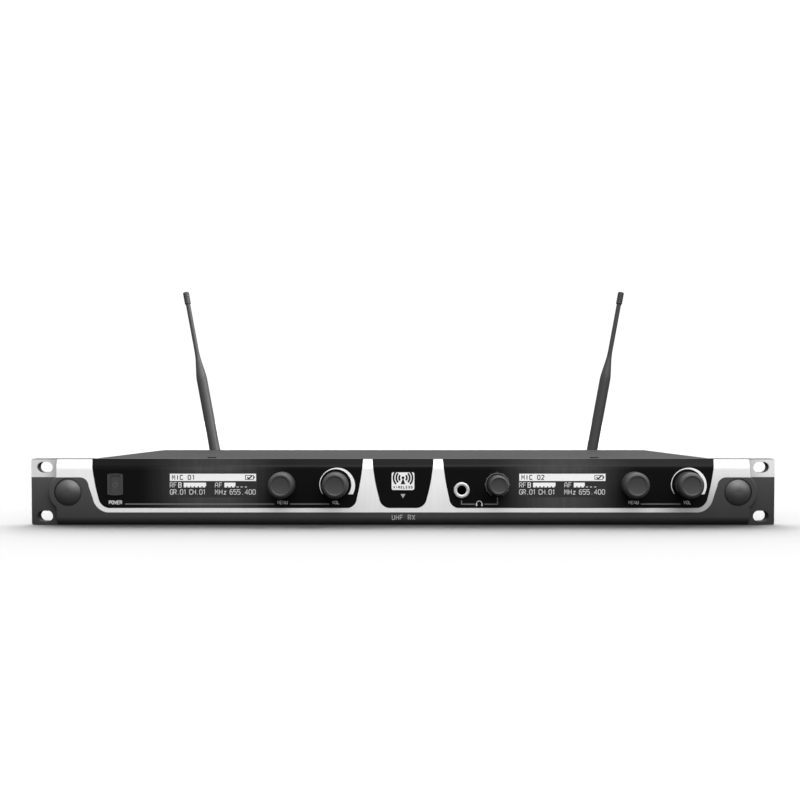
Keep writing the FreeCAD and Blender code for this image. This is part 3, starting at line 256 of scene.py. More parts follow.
def window_finish():
    """Black glossy window with a painted reflection: a soft pale band behind each display, which fades to
    the sides.
    """
    black, strength = 0.0062, 0.06
    made = Finish("window_black", black, 0.12, specular=0.06)
    x, z = made.axis("X"), made.axis("Z")
    # painted reflection: a pale band in the base colour behind each display, fading to the sides
    painted_reflections = []
    for side in SIDES:
        away = made.math("ABSOLUTE", made.math("SUBTRACT", x, centre(f"display_{side}").x))
        painted_reflections.append(made.between(away, 4 * MM, 50 * MM, 1.0, 0.0, smooth=True))
    streaks = made.vary(made.noise((0.35, 0.35, 0.01)), 0.85, 1.1)
    low = made.between(z, 12 * MM, 26 * MM, 0.85, 1.0)
    lean = made.between(z, CREASE - 1 * MM, CREASE + 1 * MM, 1.0, 0.42)
    # the painted reflection is weaker low down and on the lean above the crease
    glow = made.times(made.math("ADD", *painted_reflections), streaks, low, lean, strength)
    made.link(made.neutral(made.math("ADD", glow, black)), made.shader.inputs["Base Color"])
    ripple = made.noise(0.08)
    made.gloss(ripple, 0.10, 0.15)
    made.bump(ripple, 0.05, 0.02)
    return made.material


def screen_finish():
    """Unlit part of a display: dark grey behind a fine grid of dots."""
    made = Finish("screen", 0.036, 0.3, specular=0.1)
    dots = made.texture("ShaderNodeTexChecker", 2.4)
    made.tone(made.between(dots.outputs["Fac"], 0, 1, 0.86, 1.1))
    made.gloss(made.noise(0.3), 0.25, 0.35)
    return made.material


def ink(name, colour, glow=0.0):
    """Screen-printed ink, or a lit display mark where glow is given."""
    made = Finish(name, colour, 0.45, specular=0.3)
    cover = made.noise(1.5, 3)
    made.tone(made.vary(cover, 0.94, 1.02))
    made.gloss(cover, 0.4, 0.55)
    if glow:
        made.set("Emission Color", (1, 1, 1, 1))
        made.set("Emission Strength", glow)
    return made.material


def plug_finish():
    """Satin dome of the ear plugs: glossier than the moulding, so it shows how the light falls."""
    made = Finish("plug_plastic", 0.034, 0.46, specular=1.0)
    made.tone(made.vary(made.noise(0.1, 3), 0.92, 1.08))
    fine = made.noise(4)
    made.gloss(fine, 0.42, 0.5)
    made.bump(fine, 0.3, 0.01)
    return made.material


def steel_finish():
    """Powder-coated steel: a close orange-peel texture."""
    made = Finish("black_steel", 0.03, 0.6, specular=0.2)
    made.tone(made.vary(made.noise(0.02, 3), 0.92, 1.08))
    peel = made.noise(2.6, 3, 0.6)
    made.gloss(peel, 0.55, 0.68)
    made.bump(peel, 0.6, 0.03)
    return made.material


def plated(name, colour, roughness):
    """Bright metal with faint machining marks."""
    made = Finish(name, colour, roughness, metallic=1.0)
    marks = made.noise((0.6, 4.0, 0.6))
    made.tone(made.vary(marks, 0.94, 1.03))
    made.gloss(marks, roughness * 0.8, roughness * 1.25)
    made.bump(marks, 0.15, 0.01)
    return made.material


def board_finish():
    """Solder mask with the faint relief of tracks under it."""
    made = Finish("board", (0.012, 0.06, 0.03), 0.35)
    tracks = made.texture("ShaderNodeTexVoronoi", 0.35, feature="DISTANCE_TO_EDGE").outputs["Distance"]
    made.tone(made.between(tracks, 0.02, 0.08, 1.5, 0.9))
    made.gloss(made.noise(0.5), 0.3, 0.42)
    made.bump(tracks, 0.2, 0.02)
    return made.material


def rubber_finish():
    """Soft rubber of the whips: matt, with faint rings left by moulding, and painted paler on the left
    one, where more light falls on it.
    """
    made = Finish("whip_rubber", 0.045, 0.5, specular=0.5)
    rings = made.noise((0.4, 0.4, 1.6))
    # painted light: the left whip's rubber is made paler where more light falls on it
    side = made.between(made.axis("X"), -150 * MM, 150 * MM, 1.25, 0.9)
    made.tone(made.times(side, made.vary(rings, 0.9, 1.1)))
    made.gloss(rings, 0.45, 0.58)
    made.bump(made.noise(4), 0.4, 0.015)
    return made.material


PLASTICS = {  # colour, roughness, grain and, where it isn't the usual one, the grain's depth
    "key_plastic": (0.045, 0.5, 5),
    "black_plastic": (0.018, 0.45, 4),
    "knob_plastic": (0.042, 0.5, 6, 0.012),
    "ribbon_grey": (0.4, 0.55, 2),
    "coax_black": (0.02, 0.5, 4),
    "sign_plastic": (0.1, 0.45, 5),
}
METALS = {  # colour and roughness
    "shaft_metal": (0.7, 0.3),
    "tinned_steel": (0.62, 0.35),
    "nickel": (0.74, 0.22),
    "gold": ((0.83, 0.62, 0.26), 0.2),
    "zinc_steel": (0.5, 0.35),
    "brass": ((0.75, 0.56, 0.25), 0.3),
    "jack_satin": (0.8, 0.55),
    "black_screw": (0.06, 0.4),
}
INKS = {  # colour and, for a lit mark, its glow
    "badge_white": (0.9,),
    "pale_ink": (0.75,),
    "soft_ink": (0.6,),
    "grey_ink": (0.42,),
    "scale_ink": (0.16,),
    "line_ink": (0.15,),
    "dark_ink": (0.01,),
    "lit": (0.8, 0.12),
    "dim_lit": (0.55, 0.05),
}


def make_finishes():
    """One finish for each slot of the record, and closer ones for single pieces and printed marks."""
    made = {
        "black_steel": steel_finish(),
        "dark_moulding": moulding_finish(),
        "silver": silver_finish(),
        "window_black": window_finish(),
        "board": board_finish(),
        "whip_rubber": rubber_finish(),
        "screen": screen_finish(),
        "plug_plastic": plug_finish(),
    }
    for table, make in ((PLASTICS, grained), (METALS, plated), (INKS, ink)):
        made.update({name: make(name, *values) for name, values in table.items()})
    return made


FINISH = make_finishes()


def paint(piece, finish):
    piece.data.materials.clear()
    piece.data.materials.append(FINISH[finish])


def paint_nodes():
    """Each node takes its slot's finish, apart from a few that have a closer one."""
    closer = {"case_screws": "black_screw"}
    closer.update({f"blanking_plug_{side}": "plug_plastic" for side in SIDES})
    for row in frame["record"]["subparts"]:
        paint(frame["nodes"][row["node"]], closer.get(row["node"], row["material_slot"]))


# ---------------------------------------------------------------- mesh helpers


def add_piece(name, points, faces, finish, body, smooth_angle=None):
    """A mesh piece that rides on a body. Points are in metres, in the frame."""
    mesh = bpy.data.meshes.new(name)
    mesh.from_pydata(points, [], faces)
    mesh.validate()
    solid = bmesh.new()
    solid.from_mesh(mesh)
    bmesh.ops.recalc_face_normals(solid, faces=solid.faces)
    solid.to_mesh(mesh)
    solid.free()
    if smooth_angle is not None:
        mesh.polygons.foreach_set("use_smooth", [True] * len(mesh.polygons))
        mesh.set_sharp_from_angle(angle=math.radians(smooth_angle))
    piece = bpy.data.objects.new(name, mesh)
    bpy.context.scene.collection.objects.link(piece)
    paint(piece, finish)
    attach(piece, body)
    return piece


def arc(x, z, radius, start, stop, steps):
    """Points along an arc, angles in degrees from +X towards +Z."""
    path = []
    for k in range(steps + 1):
        turn = math.radians(start + (stop - start) * k / steps)
        path.append((x + radius * math.cos(turn), z + radius * math.sin(turn)))
    return path


def edges_of(path, width, closed):
    """Points on both sides of a line of that width, with mitred corners."""
    left, right = [], []
    last = len(path) - 1
    for i, point in enumerate(path):
        here = Vector(point)
        back = Vector(path[i - 1]) if i or closed else None
        ahead = Vector(path[(i + 1) % len(path)]) if i < last or closed else None
        before = (here - back).normalized() if back else (ahead - here).normalized()
        after = (ahead - here).normalized() if ahead else before
        along = (before + after).normalized()
        across = Vector((-along.y, along.x))
        reach = width / 2 / max(0.5, along.dot(before))
        left.append(here + across * reach)
        right.append(here - across * reach)
    return left, right


class Print:
    """Flat printed marks gathered into one piece, drawn in millimetres (x, z) as the front shows them.

    front is the depth in metres of the surface that they lie on, and facing the way that it looks.
    """

    def __init__(self, name, finish, slot, body="root", front=FACE, layer=1, facing=-1):
        self.name, self.finish, self.slot, self.body = name, finish, slot, body
        self.near = front + facing * INK * layer
        self.far = front + facing * INK * (layer - 1)
        self.points, self.faces = [], []

    def loop(self, outline, y):
        """Add an outline's points at one depth. Return their numbers."""
        start = len(self.points)
        self.points += [(x * MM, y, z * MM) for x, z in outline]
        return range(start, len(self.points))

    def plate(self, outline):
        """A filled outline."""
        near, far = self.loop(outline, self.near), self.loop(outline, self.far)
        self.faces += [tuple(near), tuple(reversed(far))]
        for i in range(len(near)):
            j = (i + 1) % len(near)
            self.faces.append((near[i], far[i], far[j], near[j]))

    def line(self, path, width, closed=False):
        """A line of some width along a path."""
        left, right = edges_of(path, width, closed)
        a, b = self.loop(left, self.near), self.loop(right, self.near)
        c, d = self.loop(left, self.far), self.loop(right, self.far)
        for i in range(len(a) if closed else len(a) - 1):
            j = (i + 1) % len(a)
            self.faces.append((a[i], a[j], b[j], b[i]))
            self.faces.append((c[j], c[i], d[i], d[j]))
            self.faces.append((a[j], a[i], c[i], c[j]))
            self.faces.append((b[i], b[j], d[j], d[i]))
        if not closed:
            self.faces.append((a[0], b[0], d[0], c[0]))
            self.faces.append((b[-1], a[-1], c[-1], d[-1]))

    def box(self, left, right, low, high):
        self.plate([(left, low), (right, low), (right, high), (left, high)])

    def text(self, words, x, z, cap, advance, stroke, anchor="middle", mirror=False):
        """Words in stroke letters. cap is the capitals' height, advance the step from letter to letter."""
        high = cap / GRID_HIGH
        wide = high * LETTER_WIDTH
        length = advance * (len(words) - 1) + GRID_WIDE * wide
        start = x - length / 2 if anchor == "middle" else x
        for k, letter in enumerate(words):
            for strokes in GLYPHS.get(letter, []):
                path = []
                for right, up in strokes:
                    place = start + k * advance + right * wide
                    path.append((2 * x - place if mirror else place, z - cap / 2 + up * high))
                closed = len(path) > 3 and strokes[0] == strokes[-1]
                self.line(path[:-1] if closed else path, stroke, closed)

    def done(self):
        return add_piece(self.name, self.points, self.faces, self.finish, self.body)


# Letters on a grid, as strokes. A stroke that ends where it starts is closed.
GRID_WIDE, GRID_HIGH = 4, 6
LETTER_WIDTH = 0.86  # a grid step across, against one upwards
BOWL = [(0, 1), (0, 5), (1, 6), (3, 6), (4, 5), (4, 1), (3, 0), (1, 0), (0, 1)]
GLYPHS = {
    "A": [[(0, 0), (0, 4.4), (1.4, 6), (2.6, 6), (4, 4.4), (4, 0)], [(0, 2.4), (4, 2.4)]],
    "B": [
        [(0, 0), (0, 6), (3, 6), (4, 5.2), (4, 4), (3, 3.1), (4, 2.2), (4, 0.8), (3, 0), (0, 0)],
        [(0, 3.1), (3, 3.1)],
    ],
    "C": [[(4, 5), (3, 6), (1, 6), (0, 5), (0, 1), (1, 0), (3, 0), (4, 1)]],
    "D": [[(0, 0), (0, 6), (3, 6), (4, 5), (4, 1), (3, 0), (0, 0)]],
    "E": [[(4, 6), (0, 6), (0, 0), (4, 0)], [(0, 3.1), (3.3, 3.1)]],
    "F": [[(4, 6), (0, 6), (0, 0)], [(0, 3.1), (3.3, 3.1)]],
    "G": [[(4, 5), (3, 6), (1, 6), (0, 5), (0, 1), (1, 0), (3, 0), (4, 1), (4, 2.8), (2.2, 2.8)]],
    "H": [[(0, 0), (0, 6)], [(4, 0), (4, 6)], [(0, 3.1), (4, 3.1)]],
    "I": [[(2, 0), (2, 6)]],
    "L": [[(0, 6), (0, 0), (4, 0)]],
    "M": [[(0, 0), (0, 6), (2, 2.6), (4, 6), (4, 0)]],
    "N": [[(0, 0), (0, 6), (4, 0), (4, 6)]],
    "O": [BOWL],
    "P": [[(0, 0), (0, 6), (3, 6), (4, 5.2), (4, 3.6), (3, 2.8), (0, 2.8)]],
    "R": [[(0, 0), (0, 6), (3, 6), (4, 5.2), (4, 3.7), (3, 2.9), (0, 2.9)], [(2.2, 2.9), (4, 0)]],
    "S": [
        [(4, 5), (3, 6), (1, 6), (0, 5), (0, 4), (1, 3.1)]
        + [(3, 3.1), (4, 2.2), (4, 1), (3, 0), (1, 0), (0, 1)],
    ],
    "T": [[(0, 6), (4, 6)], [(2, 6), (2, 0)]],
    "U": [[(0, 6), (0, 1), (1, 0), (3, 0), (4, 1), (4, 6)]],
    "V": [[(0, 6), (2, 0), (4, 6)]],
    "W": [[(0, 6), (1, 0), (2, 3.8), (3, 0), (4, 6)]],
    "X": [[(0, 0), (4, 6)], [(0, 6), (4, 0)]],
    "z": [[(0.4, 4), (3.6, 4), (0.4, 0), (3.6, 0)]],
    "0": [BOWL],
    "1": [[(1, 4.8), (2.4, 6), (2.4, 0)]],
    "2": [[(0, 5), (1, 6), (3, 6), (4, 5), (4, 4), (0, 0), (4, 0)]],
    "4": [[(3, 0), (3, 6), (0, 1.8), (4, 1.8)]],
    "5": [[(4, 6), (0, 6), (0, 3.4), (3, 3.4), (4, 2.6), (4, 1), (3, 0), (0, 0)]],
    "6": [[(3.6, 6), (1.4, 6), (0, 4.4), (0, 1), (1, 0), (3, 0), (4, 1), (4, 2.6), (3, 3.4), (0, 3.4)]],
    ".": [[(1.6, 0), (2.4, 0)]],
}


def lathe(name, profile, node, segments, finish, body, grip=None, closed=False):
    """A turned piece on a node's own axis. profile holds (radius, y) in millimetres, front to rear.

    grip = (front, rear, count, depth) cuts that many flutes into the side between two depths.
    closed joins the profile's end to its start, for a piece with a bore.
    """
    x, z = centre(node).x, centre(node).z
    points, rings = [], []
    for radius, y in profile:
        ring = []
        for k in range(segments if radius else 1):
            turn = 2 * math.pi * k / segments
            cut = 0.0
            if radius and grip and grip[0] <= y <= grip[1]:
                cut = grip[3] * max(0.0, min(1.0, 0.5 - 1.2 * math.cos(turn * grip[2])))
            reach = (radius - cut) * MM
            ring.append(len(points))
            points.append((x + reach * math.cos(turn), y * MM, z + reach * math.sin(turn)))
        rings.append(ring)
    faces = []
    for a, b in zip(rings, rings[1:] + rings[:1] if closed else rings[1:]):
        for k in range(segments):
            j = (k + 1) % segments
            if len(a) == 1:
                faces.append((a[0], b[j], b[k]))
            elif len(b) == 1:
                faces.append((a[k], a[j], b[0]))
            else:
                faces.append((a[k], a[j], b[j], b[k]))
    return add_piece(name, points, faces, finish, body, smooth_angle=35)


# ---------------------------------------------------------------- stage


def area_light(name, place, target, size, power):
    data = bpy.data.lights.new(name, "AREA")
    data.shape = "RECTANGLE"
    data.size, data.size_y = size
    data.energy = power
    light = bpy.data.objects.new(name, data)
    light.location = place
    aim = Vector(target) - Vector(place)
    light.rotation_euler = aim.to_track_quat("-Z", "Y").to_euler()
    bpy.context.scene.collection.objects.link(light)
    return light


def sun_light(name, power, spread, tilt, turn=0):
    """A wide distant light. tilt leans it from straight down, turn swings it about the upright axis."""
    data = bpy.data.lights.new(name, "SUN")
    data.energy = power
    data.angle = math.radians(spread)
    light = bpy.data.objects.new(name, data)
    light.rotation_euler = (math.radians(tilt), 0, math.radians(turn))
    bpy.context.scene.collection.objects.link(light)
    return light


def make_world():
    """White studio for the camera; a softer sky, dark below the horizon, for light and reflections."""
    world = bpy.data.worlds.new("studio")
    world.use_nodes = True
    nodes, link = world.node_tree.nodes, world.node_tree.links.new
    nodes.clear()
    white = nodes.new("ShaderNodeBackground")
    white.inputs["Color"].default_value = (1, 1, 1, 1)
    white.inputs["Strength"].default_value = 1.05
    where = nodes.new("ShaderNodeTexCoord")
    split = nodes.new("ShaderNodeSeparateXYZ")
    link(where.outputs["Generated"], split.inputs["Vector"])
    rise = nodes.new("ShaderNodeMapRange")
    rise.interpolation_type = "SMOOTHSTEP"
    limits = {"From Min": -0.25, "From Max": 0.55, "To Min": 0.06, "To Max": 0.95}
    for name, value in limits.items():
        rise.inputs[name].default_value = value
    link(split.outputs["Z"], rise.inputs["Value"])
    sky = nodes.new("ShaderNodeBackground")
    link(rise.outputs["Result"], sky.inputs["Strength"])
    mix = nodes.new("ShaderNodeMixShader")
    path = nodes.new("ShaderNodeLightPath")
    link(path.outputs["Is Camera Ray"], mix.inputs["Fac"])
    link(sky.outputs["Background"], mix.inputs[1])
    link(white.outputs["Background"], mix.inputs[2])
    output = nodes.new("ShaderNodeOutputWorld")
    link(mix.outputs["Shader"], output.inputs["Surface"])
    bpy.context.scene.world = world


def make_floor():
    """Wide pale floor under the unit, paler still far away, where it meets the white beyond it."""
    half = 40.0
    mesh = bpy.data.meshes.new("floor")
    corners = [(-half, -half, FLOOR), (half, -half, FLOOR), (half, half, FLOOR), (-half, half, FLOOR)]
    mesh.from_pydata(corners, [], [(0, 1, 2, 3)])
    floor = bpy.data.objects.new("floor", mesh)
    bpy.context.scene.collection.objects.link(floor)
    pale = Finish("floor", 0.2, 0.9, specular=0.0)
    cloth = pale.vary(pale.noise(0.3), 0.99, 1.01)
    away = pale.math("MAXIMUM", *(pale.math("ABSOLUTE", pale.axis(axis)) for axis in "XY"))
    pale.tone(pale.times(cloth, pale.between(away, 1.0, 4.0, 1.0, 1.6)))
    floor.data.materials.append(pale.material)
    floor.visible_diffuse = False
    floor.visible_glossy = False
    floor.visible_shadow = False
    return floor


def light_group(name, things, exclude=False):
    """The things that a light reaches, or leaves out."""
    group = bpy.data.collections.new(name)
    for thing in things:
        group.objects.link(thing)
    if exclude:
        for row in group.collection_objects:
            row.light_linking.link_state = "EXCLUDE"
    return group


def make_lights(floor):
    """Softboxes above, in front and at the right. The floor and the left whip have their own lights."""
    above = light_group("lit_from_above", [floor], exclude=True)
    for light in (
        area_light("top_softbox", (0.3, -0.15, 1.5), (0, 0.05, 0), (2.4, 1.6), 24),
        area_light("front_softbox", (0.5, -1.9, 1.5), (0, 0, 0.03), (2.2, 0.9), 26),
        area_light("right_softbox", (1.5, -0.9, 0.9), (0, 0, 0.03), (0.9, 0.9), 7),
        sun_light("sky", 1.2, 100, 0),
    ):
        light.light_linking.receiver_collection = above
    behind = light_group("lit_from_behind", [floor])
    for side, turn in (("left", 35), ("right", -35)):
        light = sun_light(f"floor_light_{side}", 17, 86, -68, turn)
        light.light_linking.receiver_collection = behind
    parts = [frame["nodes"][f"antenna_{part}_left"] for part in ("coupling", "plug", "sleeve", "whip")]
    whip = centre("antenna_sleeve_left")
    light = area_light("whip_light", (0.25, whip.y - 0.12, 0.2), whip, (0.25, 0.4), 1.6)
    light.visible_camera = False
    light.light_linking.receiver_collection = light_group("lit_from_the_right", parts)


def make_camera():
    """Straight on from the front, a little above the unit and tipped slightly down."""
    height, distance, tip = 0.068, 0.6986, 1.6
    data = bpy.data.cameras.new("camera")
    data.sensor_width = 36
    data.lens = 48.7
    data.shift_x = -0.00607
    data.shift_y = 0.0628
    data.clip_start = 0.05
    data.clip_end = 200
    camera = bpy.data.objects.new("camera", data)
    camera.location = (0.0012, FACE - distance, height)
    camera.rotation_euler = (math.radians(90 - tip), 0, 0)
    bpy.context.scene.collection.objects.link(camera)
    bpy.context.scene.camera = camera


def make_stage():
    bpy.context.scene.view_settings.view_transform = "Standard"
    make_world()
    make_lights(make_floor())
    make_camera()


# ---------------------------------------------------------------- knobs and socket ring


def knob_profile(front, rear, radius, disc, fluted):
    """Half section of a knob: dished disc, rounded lip, rounded shoulder and a slightly tapered side."""
    lip, side = disc + 0.7, radius - 0.15
    dish = [(0, 0.55), (disc - 0.5, 0.5), (disc - 0.1, 0.42), (disc + 0.1, 0.2), (disc + 0.3, 0.05)]
    path = [(r, front + y) for r, y in dish + [(disc + 0.5, 0), (lip, 0.06)]]
    steps, depth = 8, 2.6
    for k in range(1, steps + 1):
        turn = math.pi / 2 * k / steps
        path.append((lip + (side - lip) * math.sin(turn), front + 0.06 + depth * (1 - math.cos(turn))))
    if fluted:
        path += [(radius - 0.1, front + 3.3), (radius - 0.08, front + 3.5)]
    path += [(radius - 0.05, front + 6.0), (radius, rear - 0.9), (radius - 0.12, rear - 0.3)]
    path += [(radius - 0.5, rear), (radius - 1.6, rear), (radius - 1.6, rear - 1.2), (0, rear - 1.2)]
    return path


def make_knob(node, radius, disc, flutes=0, depth=0.0):
    """Finer knob in place of its plain CAD node, with flutes in its side where a number is given."""
    low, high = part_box(node)
    front, rear = low.y / MM, high.y / MM
    profile = knob_profile(front, rear, radius, disc, flutes > 0)
    grip = (front + 3.4, rear - 0.5, flutes, depth) if flutes else None
    piece = lathe(f"{node}_turned", profile, node, 288, "knob_plastic", node, grip)
    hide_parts(node)


def make_knobs():
    for side in SIDES:
        make_knob(f"menu_knob_{side}", 8.5, 5.7)
        make_knob(f"volume_knob_{side}", 8.5, 5.7, 48, 0.4)
    make_knob("headphone_knob", 6.6, 4.6, 36, 0.3)


def make_jack_ring():
    """Satin ring round the headphone jack, narrower than its plain CAD node and rounded at both rims."""
    node = "headphone_jack_ring"
    low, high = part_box(node)
    front, rear = low.y / MM, high.y / MM
    nose, mouth, outer = 4.55, 2.95, 5.15
    profile = [(nose, rear), (nose, front + 0.5), (mouth, front + 0.5), (mouth, front + 0.35)]
    profile += [(mouth + 0.12, front + 0.12), (mouth + 0.4, front), (outer - 0.6, front)]
    profile += [(outer - 0.2, front + 0.12), (outer, front + 0.45), (outer, rear)]
    piece = lathe(f"{node}_turned", profile, node, 96, "jack_satin", "root", closed=True)
    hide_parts(node)


# ---------------------------------------------------------------- printed marks, in millimetres

LABEL_Z = 14.7  # middle of the words under the controls
LINE_Z = 13.7  # middle of the lines that join those words


def print_label_lines():
    """Grey lines that join the words under the controls, and the bracket under the headphone controls."""
    marks = Print("label_lines", "line_ink", "badge_white")
    width = 0.75
    for start, stop in ((-179.7, -83.3), (-73.1, -47.7), (153.8, 179.5)):
        marks.line([(start, LINE_Z), (stop, LINE_Z)], width)
    low = LINE_Z - 0.1
    marks.line([(37.8, 16.2), (37.8, low), (46.4, low)], width)
    marks.line([(52.4, low), (61.1, low), (61.1, 18)], width)
    marks.done()


def print_words():
    """POWER in bright ink, the other control names in softer ink, and generic words on the band."""
    bright = Print("power_word", "pale_ink", "badge_white")
    bright.text("POWER", spot("power_button_frame")[0], LABEL_Z, 2.1, 1.74, 0.44)
    bright.done()
    words = Print("control_words", "soft_ink", "badge_white")
    for side in SIDES:
        words.text("MENU", spot(f"menu_knob_{side}")[0], LABEL_Z, 2.0, 1.75, 0.4)
        words.text("VOL", spot(f"volume_knob_{side}")[0], LABEL_Z, 2.0, 1.7, 0.4)
    words.done()
    band = Print("band_word", "grey_ink", "badge_white")
    band.text("UHF RX", 0.3, 5.04, 2.9, 2.6, 0.42)
    band.done()


def crescent(x, z):
    """Outline of the white crescent round a volume knob: thin at the lower left, wide at the right."""
    inner, outer = 10.1, 11.6
    shift = Vector((0.9, -0.6))  # from the inner circle's centre to the outer one's
    cut = 6.2  # how far under the centre the wide end stops
    tail = 212  # where the thin end stops, in degrees
    fade, fading, thinnest = 165, 47, 0.72  # where it starts to thin, over how many degrees, how much
    steps = 60
    end_in = -math.degrees(math.asin(cut / inner))
    end_out = -math.degrees(math.asin((cut + shift.y) / outer))
    outside = []
    for point in arc(shift.x, shift.y, outer, end_out, tail, steps):
        base = Vector(point)
        direction = (math.degrees(math.atan2(base.y, base.x)) + 90) % 360 - 90
        thin = thinnest * min(1.0, max(0.0, (direction - fade) / fading))
        reach = base.length - (base.length - inner) * thin
        outside.append(base.normalized() * reach + Vector((x, z)))
    return arc(x, z, inner, end_in, tail, steps) + outside[::-1]


def print_crescents():
    for side in SIDES:
        marks = Print(f"volume_crescent_{side}", "badge_white", "badge_white")
        marks.plate(crescent(*spot(f"volume_knob_{side}")))
        marks.done()


def print_headphone_scale():
    """Thin scale with ticks round the headphone knob."""
    place = spot("headphone_knob")
    start, stop, ticks = -60, 240, 10
    marks = Print("headphone_scale", "scale_ink", "badge_white")
    marks.line(arc(*place, 7.45, start, stop, 60), 0.45)
    for ends in zip(arc(*place, 7.4, start, stop, ticks), arc(*place, 8.25, start, stop, ticks)):
        marks.line(ends, 0.5)
    marks.done()


def print_headphone_sign():
    """Headphone sign between the socket and its knob: a headband and two cups."""
    x, z, band = 49.3, 13.9, 1.75
    sign = Print("headphone_sign", "pale_ink", "badge_white")
    sign.line(arc(x, z, band, 0, 180, 16), 0.38)
    for cup in (x - band, x + band):
        sign.box(cup - 0.42, cup + 0.42, z - 1.5, z + 0.25)
    sign.done()


def print_badge():
    """Generic radio sign and a plain word on the white badge, and the small arrow under it."""
    low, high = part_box("badge")
    x, top = spot("badge")[0], high.z / MM
    hub = top - 3.5  # middle of the waves
    sign = Print("badge_sign", "dark_ink", "window_black", front=low.y)
    sign.plate([(x - 1.5, hub - 4.2), (x + 1.5, hub - 4.2), (x, hub - 0.1)])
    sign.plate(arc(x, hub, 0.95, 0, 345, 23))
    spread = 42
    for reach in (2.5, 4.3, 6.1):
        for way in (0, 180):
            sign.line(arc(x, hub, reach, way - spread, way + spread, 14), 1.15)
    sign.text("WIRELESS", x, top - 9.6, 1.35, 1.62, 0.38)
    sign.done()
    arrow = Print("centre_arrow", "grey_ink", "badge_white")
    arrow.plate([(x, 17.5), (x + 1.6, 20.2), (x - 1.6, 20.2)])
    arrow.done()


def print_legends():
    """Names of the connectors on the rear panel, read from behind."""
    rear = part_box("rear_panel")[1].y
    marks = Print("rear_legends", "soft_ink", "badge_white", front=rear, facing=1)
    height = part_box("balanced_outputs")[1].z / MM + 1.9
    mounts = {mount["name"]: mount["pos_m"][0] / MM for mount in frame["record"]["mounts"]}
    names = [("DC IN 12V", spot("dc_inlet")[0])]
    for side, number in (("left", "1"), ("right", "2")):
        names.append((f"ANTENNA {number}", spot(f"antenna_coupling_{side}")[0]))
        names.append((f"BALANCED OUT {number}", mounts[f"balanced_output_{side}"]))
        names.append((f"LINE OUT {number}", mounts[f"line_output_{side}"]))
    for words, x in names:
        marks.text(words, x, height, 1.9, 1.75, 0.32, mirror=True)
    marks.done()


# ---------------------------------------------------------------- displays, in millimetres

LIT_WIDTH, LIT_HEIGHT = 55.7, 14.4  # lit area of a display
LIT_DROP = 0.2  # how far its middle lies under the glass's
LETTER, STROKE = 3.0, 0.44  # height and line width of its letters


class Screen:
    """One display's lit area, drawn to the right of and down from its upper left corner."""

    def __init__(self, side):
        x, z = spot(f"display_{side}")
        self.side = side
        self.left = x - LIT_WIDTH / 2
        self.top = z + LIT_HEIGHT / 2 - LIT_DROP

    def sheet(self, name, finish, slot, layer):
        return Print(f"{name}_{self.side}", finish, slot, layer=layer)

    def box(self, marks, x, down, width, height):
        left, top = self.left + x, self.top - down
        marks.box(left, left + width, top - height, top)

    def words(self, marks, letters, x, middle, advance, cap=LETTER, stroke=STROKE):
        marks.text(letters, self.left + x, self.top - middle, cap, advance, stroke, "left")


def print_battery(screen, marks):
    """Battery outline with a tick in it, at the right end of the header."""
    x, z = screen.left + 51.4, screen.top - 2.35
    half_x, half_z = 2.6, 1.3
    corners = [(x + half_x * i, z + half_z * j) for i, j in ((-1, -1), (1, -1), (1, 1), (-1, 1))]
    marks.line(corners, 0.42, closed=True)
    marks.box(x + half_x, x + half_x + 0.8, z - 0.7, z + 0.7)
    marks.line([(x - 1.5, z + 0.1), (x - 0.4, z - 0.9), (x + 1.7, z + 1.1)], 0.85)


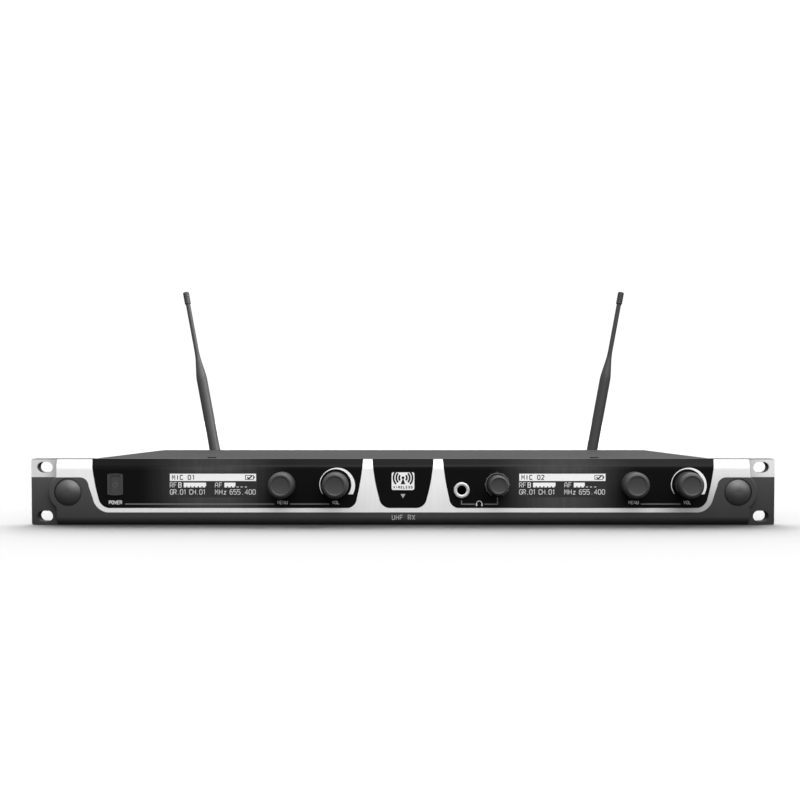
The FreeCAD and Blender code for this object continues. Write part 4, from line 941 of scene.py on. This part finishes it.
def print_meters(screen, lit, dim):
    """Second row: radio signal with its antenna's letter, and audio level with dashes up to full scale."""
    top, height, middle = 5.75, 3.1, 7.3
    screen.words(dim, "RF", 0.15, middle, 2.5)
    screen.words(lit, "B", 5.6, middle, 2.5)
    screen.words(dim, "AF", 29.3, middle, 2.7)
    pitch, tooth, dash = 2.45, 0.8, 0.6
    for start, count in ((8.9, 6), (35.2, 3)):
        screen.box(lit, start, top, pitch * count - 0.2, height - tooth)
        for k in range(count):
            screen.box(lit, start + pitch * k, top + height - tooth, pitch - 0.75, tooth)
    for start in (43.1, 45.7, 48.4):
        screen.box(dim, start, top + height - dash, 1.3, dash)


def print_display(side, name):
    """What one display shows: header bar, signal meters, group, channel and frequency."""
    screen = Screen(side)
    edge = 0.7
    back = screen.sheet("screen", "screen", "window_black", 1)
    screen.box(back, -edge, -edge, LIT_WIDTH + 2 * edge, LIT_HEIGHT + 2 * edge)
    back.done()
    lit = screen.sheet("screen_lit_marks", "lit", "badge_white", 2)
    dim = screen.sheet("screen_dim_marks", "dim_lit", "badge_white", 2)
    screen.box(lit, 0, 0, LIT_WIDTH, 4.7)
    print_meters(screen, lit, dim)
    bottom = 11.8
    row = (("GR.01", 0.2, 2.15), ("CH.01", 12.7, 2.15), ("MHz", 29.3, 2.7), ("655.400", 38.8, 2.45))
    for words, start, advance in row:
        screen.words(dim, words, start, bottom, advance)
    lit.done()
    dim.done()
    dark = screen.sheet("screen_header", "dark_ink", "window_black", 3)
    screen.words(dark, name, 1.6, 2.35, 2.55, cap=2.8, stroke=0.55)
    print_battery(screen, dark)
    dark.done()


# ---------------------------------------------------------------- power key


def make_power_sign():
    """Raised power sign on the key: an open ring and a bar."""
    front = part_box("power_button")[0].y
    x, z = spot("power_button")
    sign = Print("power_sign", "sign_plastic", "key_plastic", body="power_button", front=front, layer=3)
    sign.far = front + 0.05 * MM  # a little inside the key
    sign.line(arc(x, z - 0.2, 1.5, 125, 415, 30), 0.4)
    sign.line([(x, z + 0.2), (x, z + 1.9)], 0.4)
    sign.done()


# ---------------------------------------------------------------- build

paint_nodes()
make_stage()
make_knobs()
make_jack_ring()
print_label_lines()
print_words()
print_crescents()
print_headphone_scale()
print_headphone_sign()
print_badge()
print_legends()
print_display("left", "MIC 01")
print_display("right", "MIC 02")
make_power_sign()
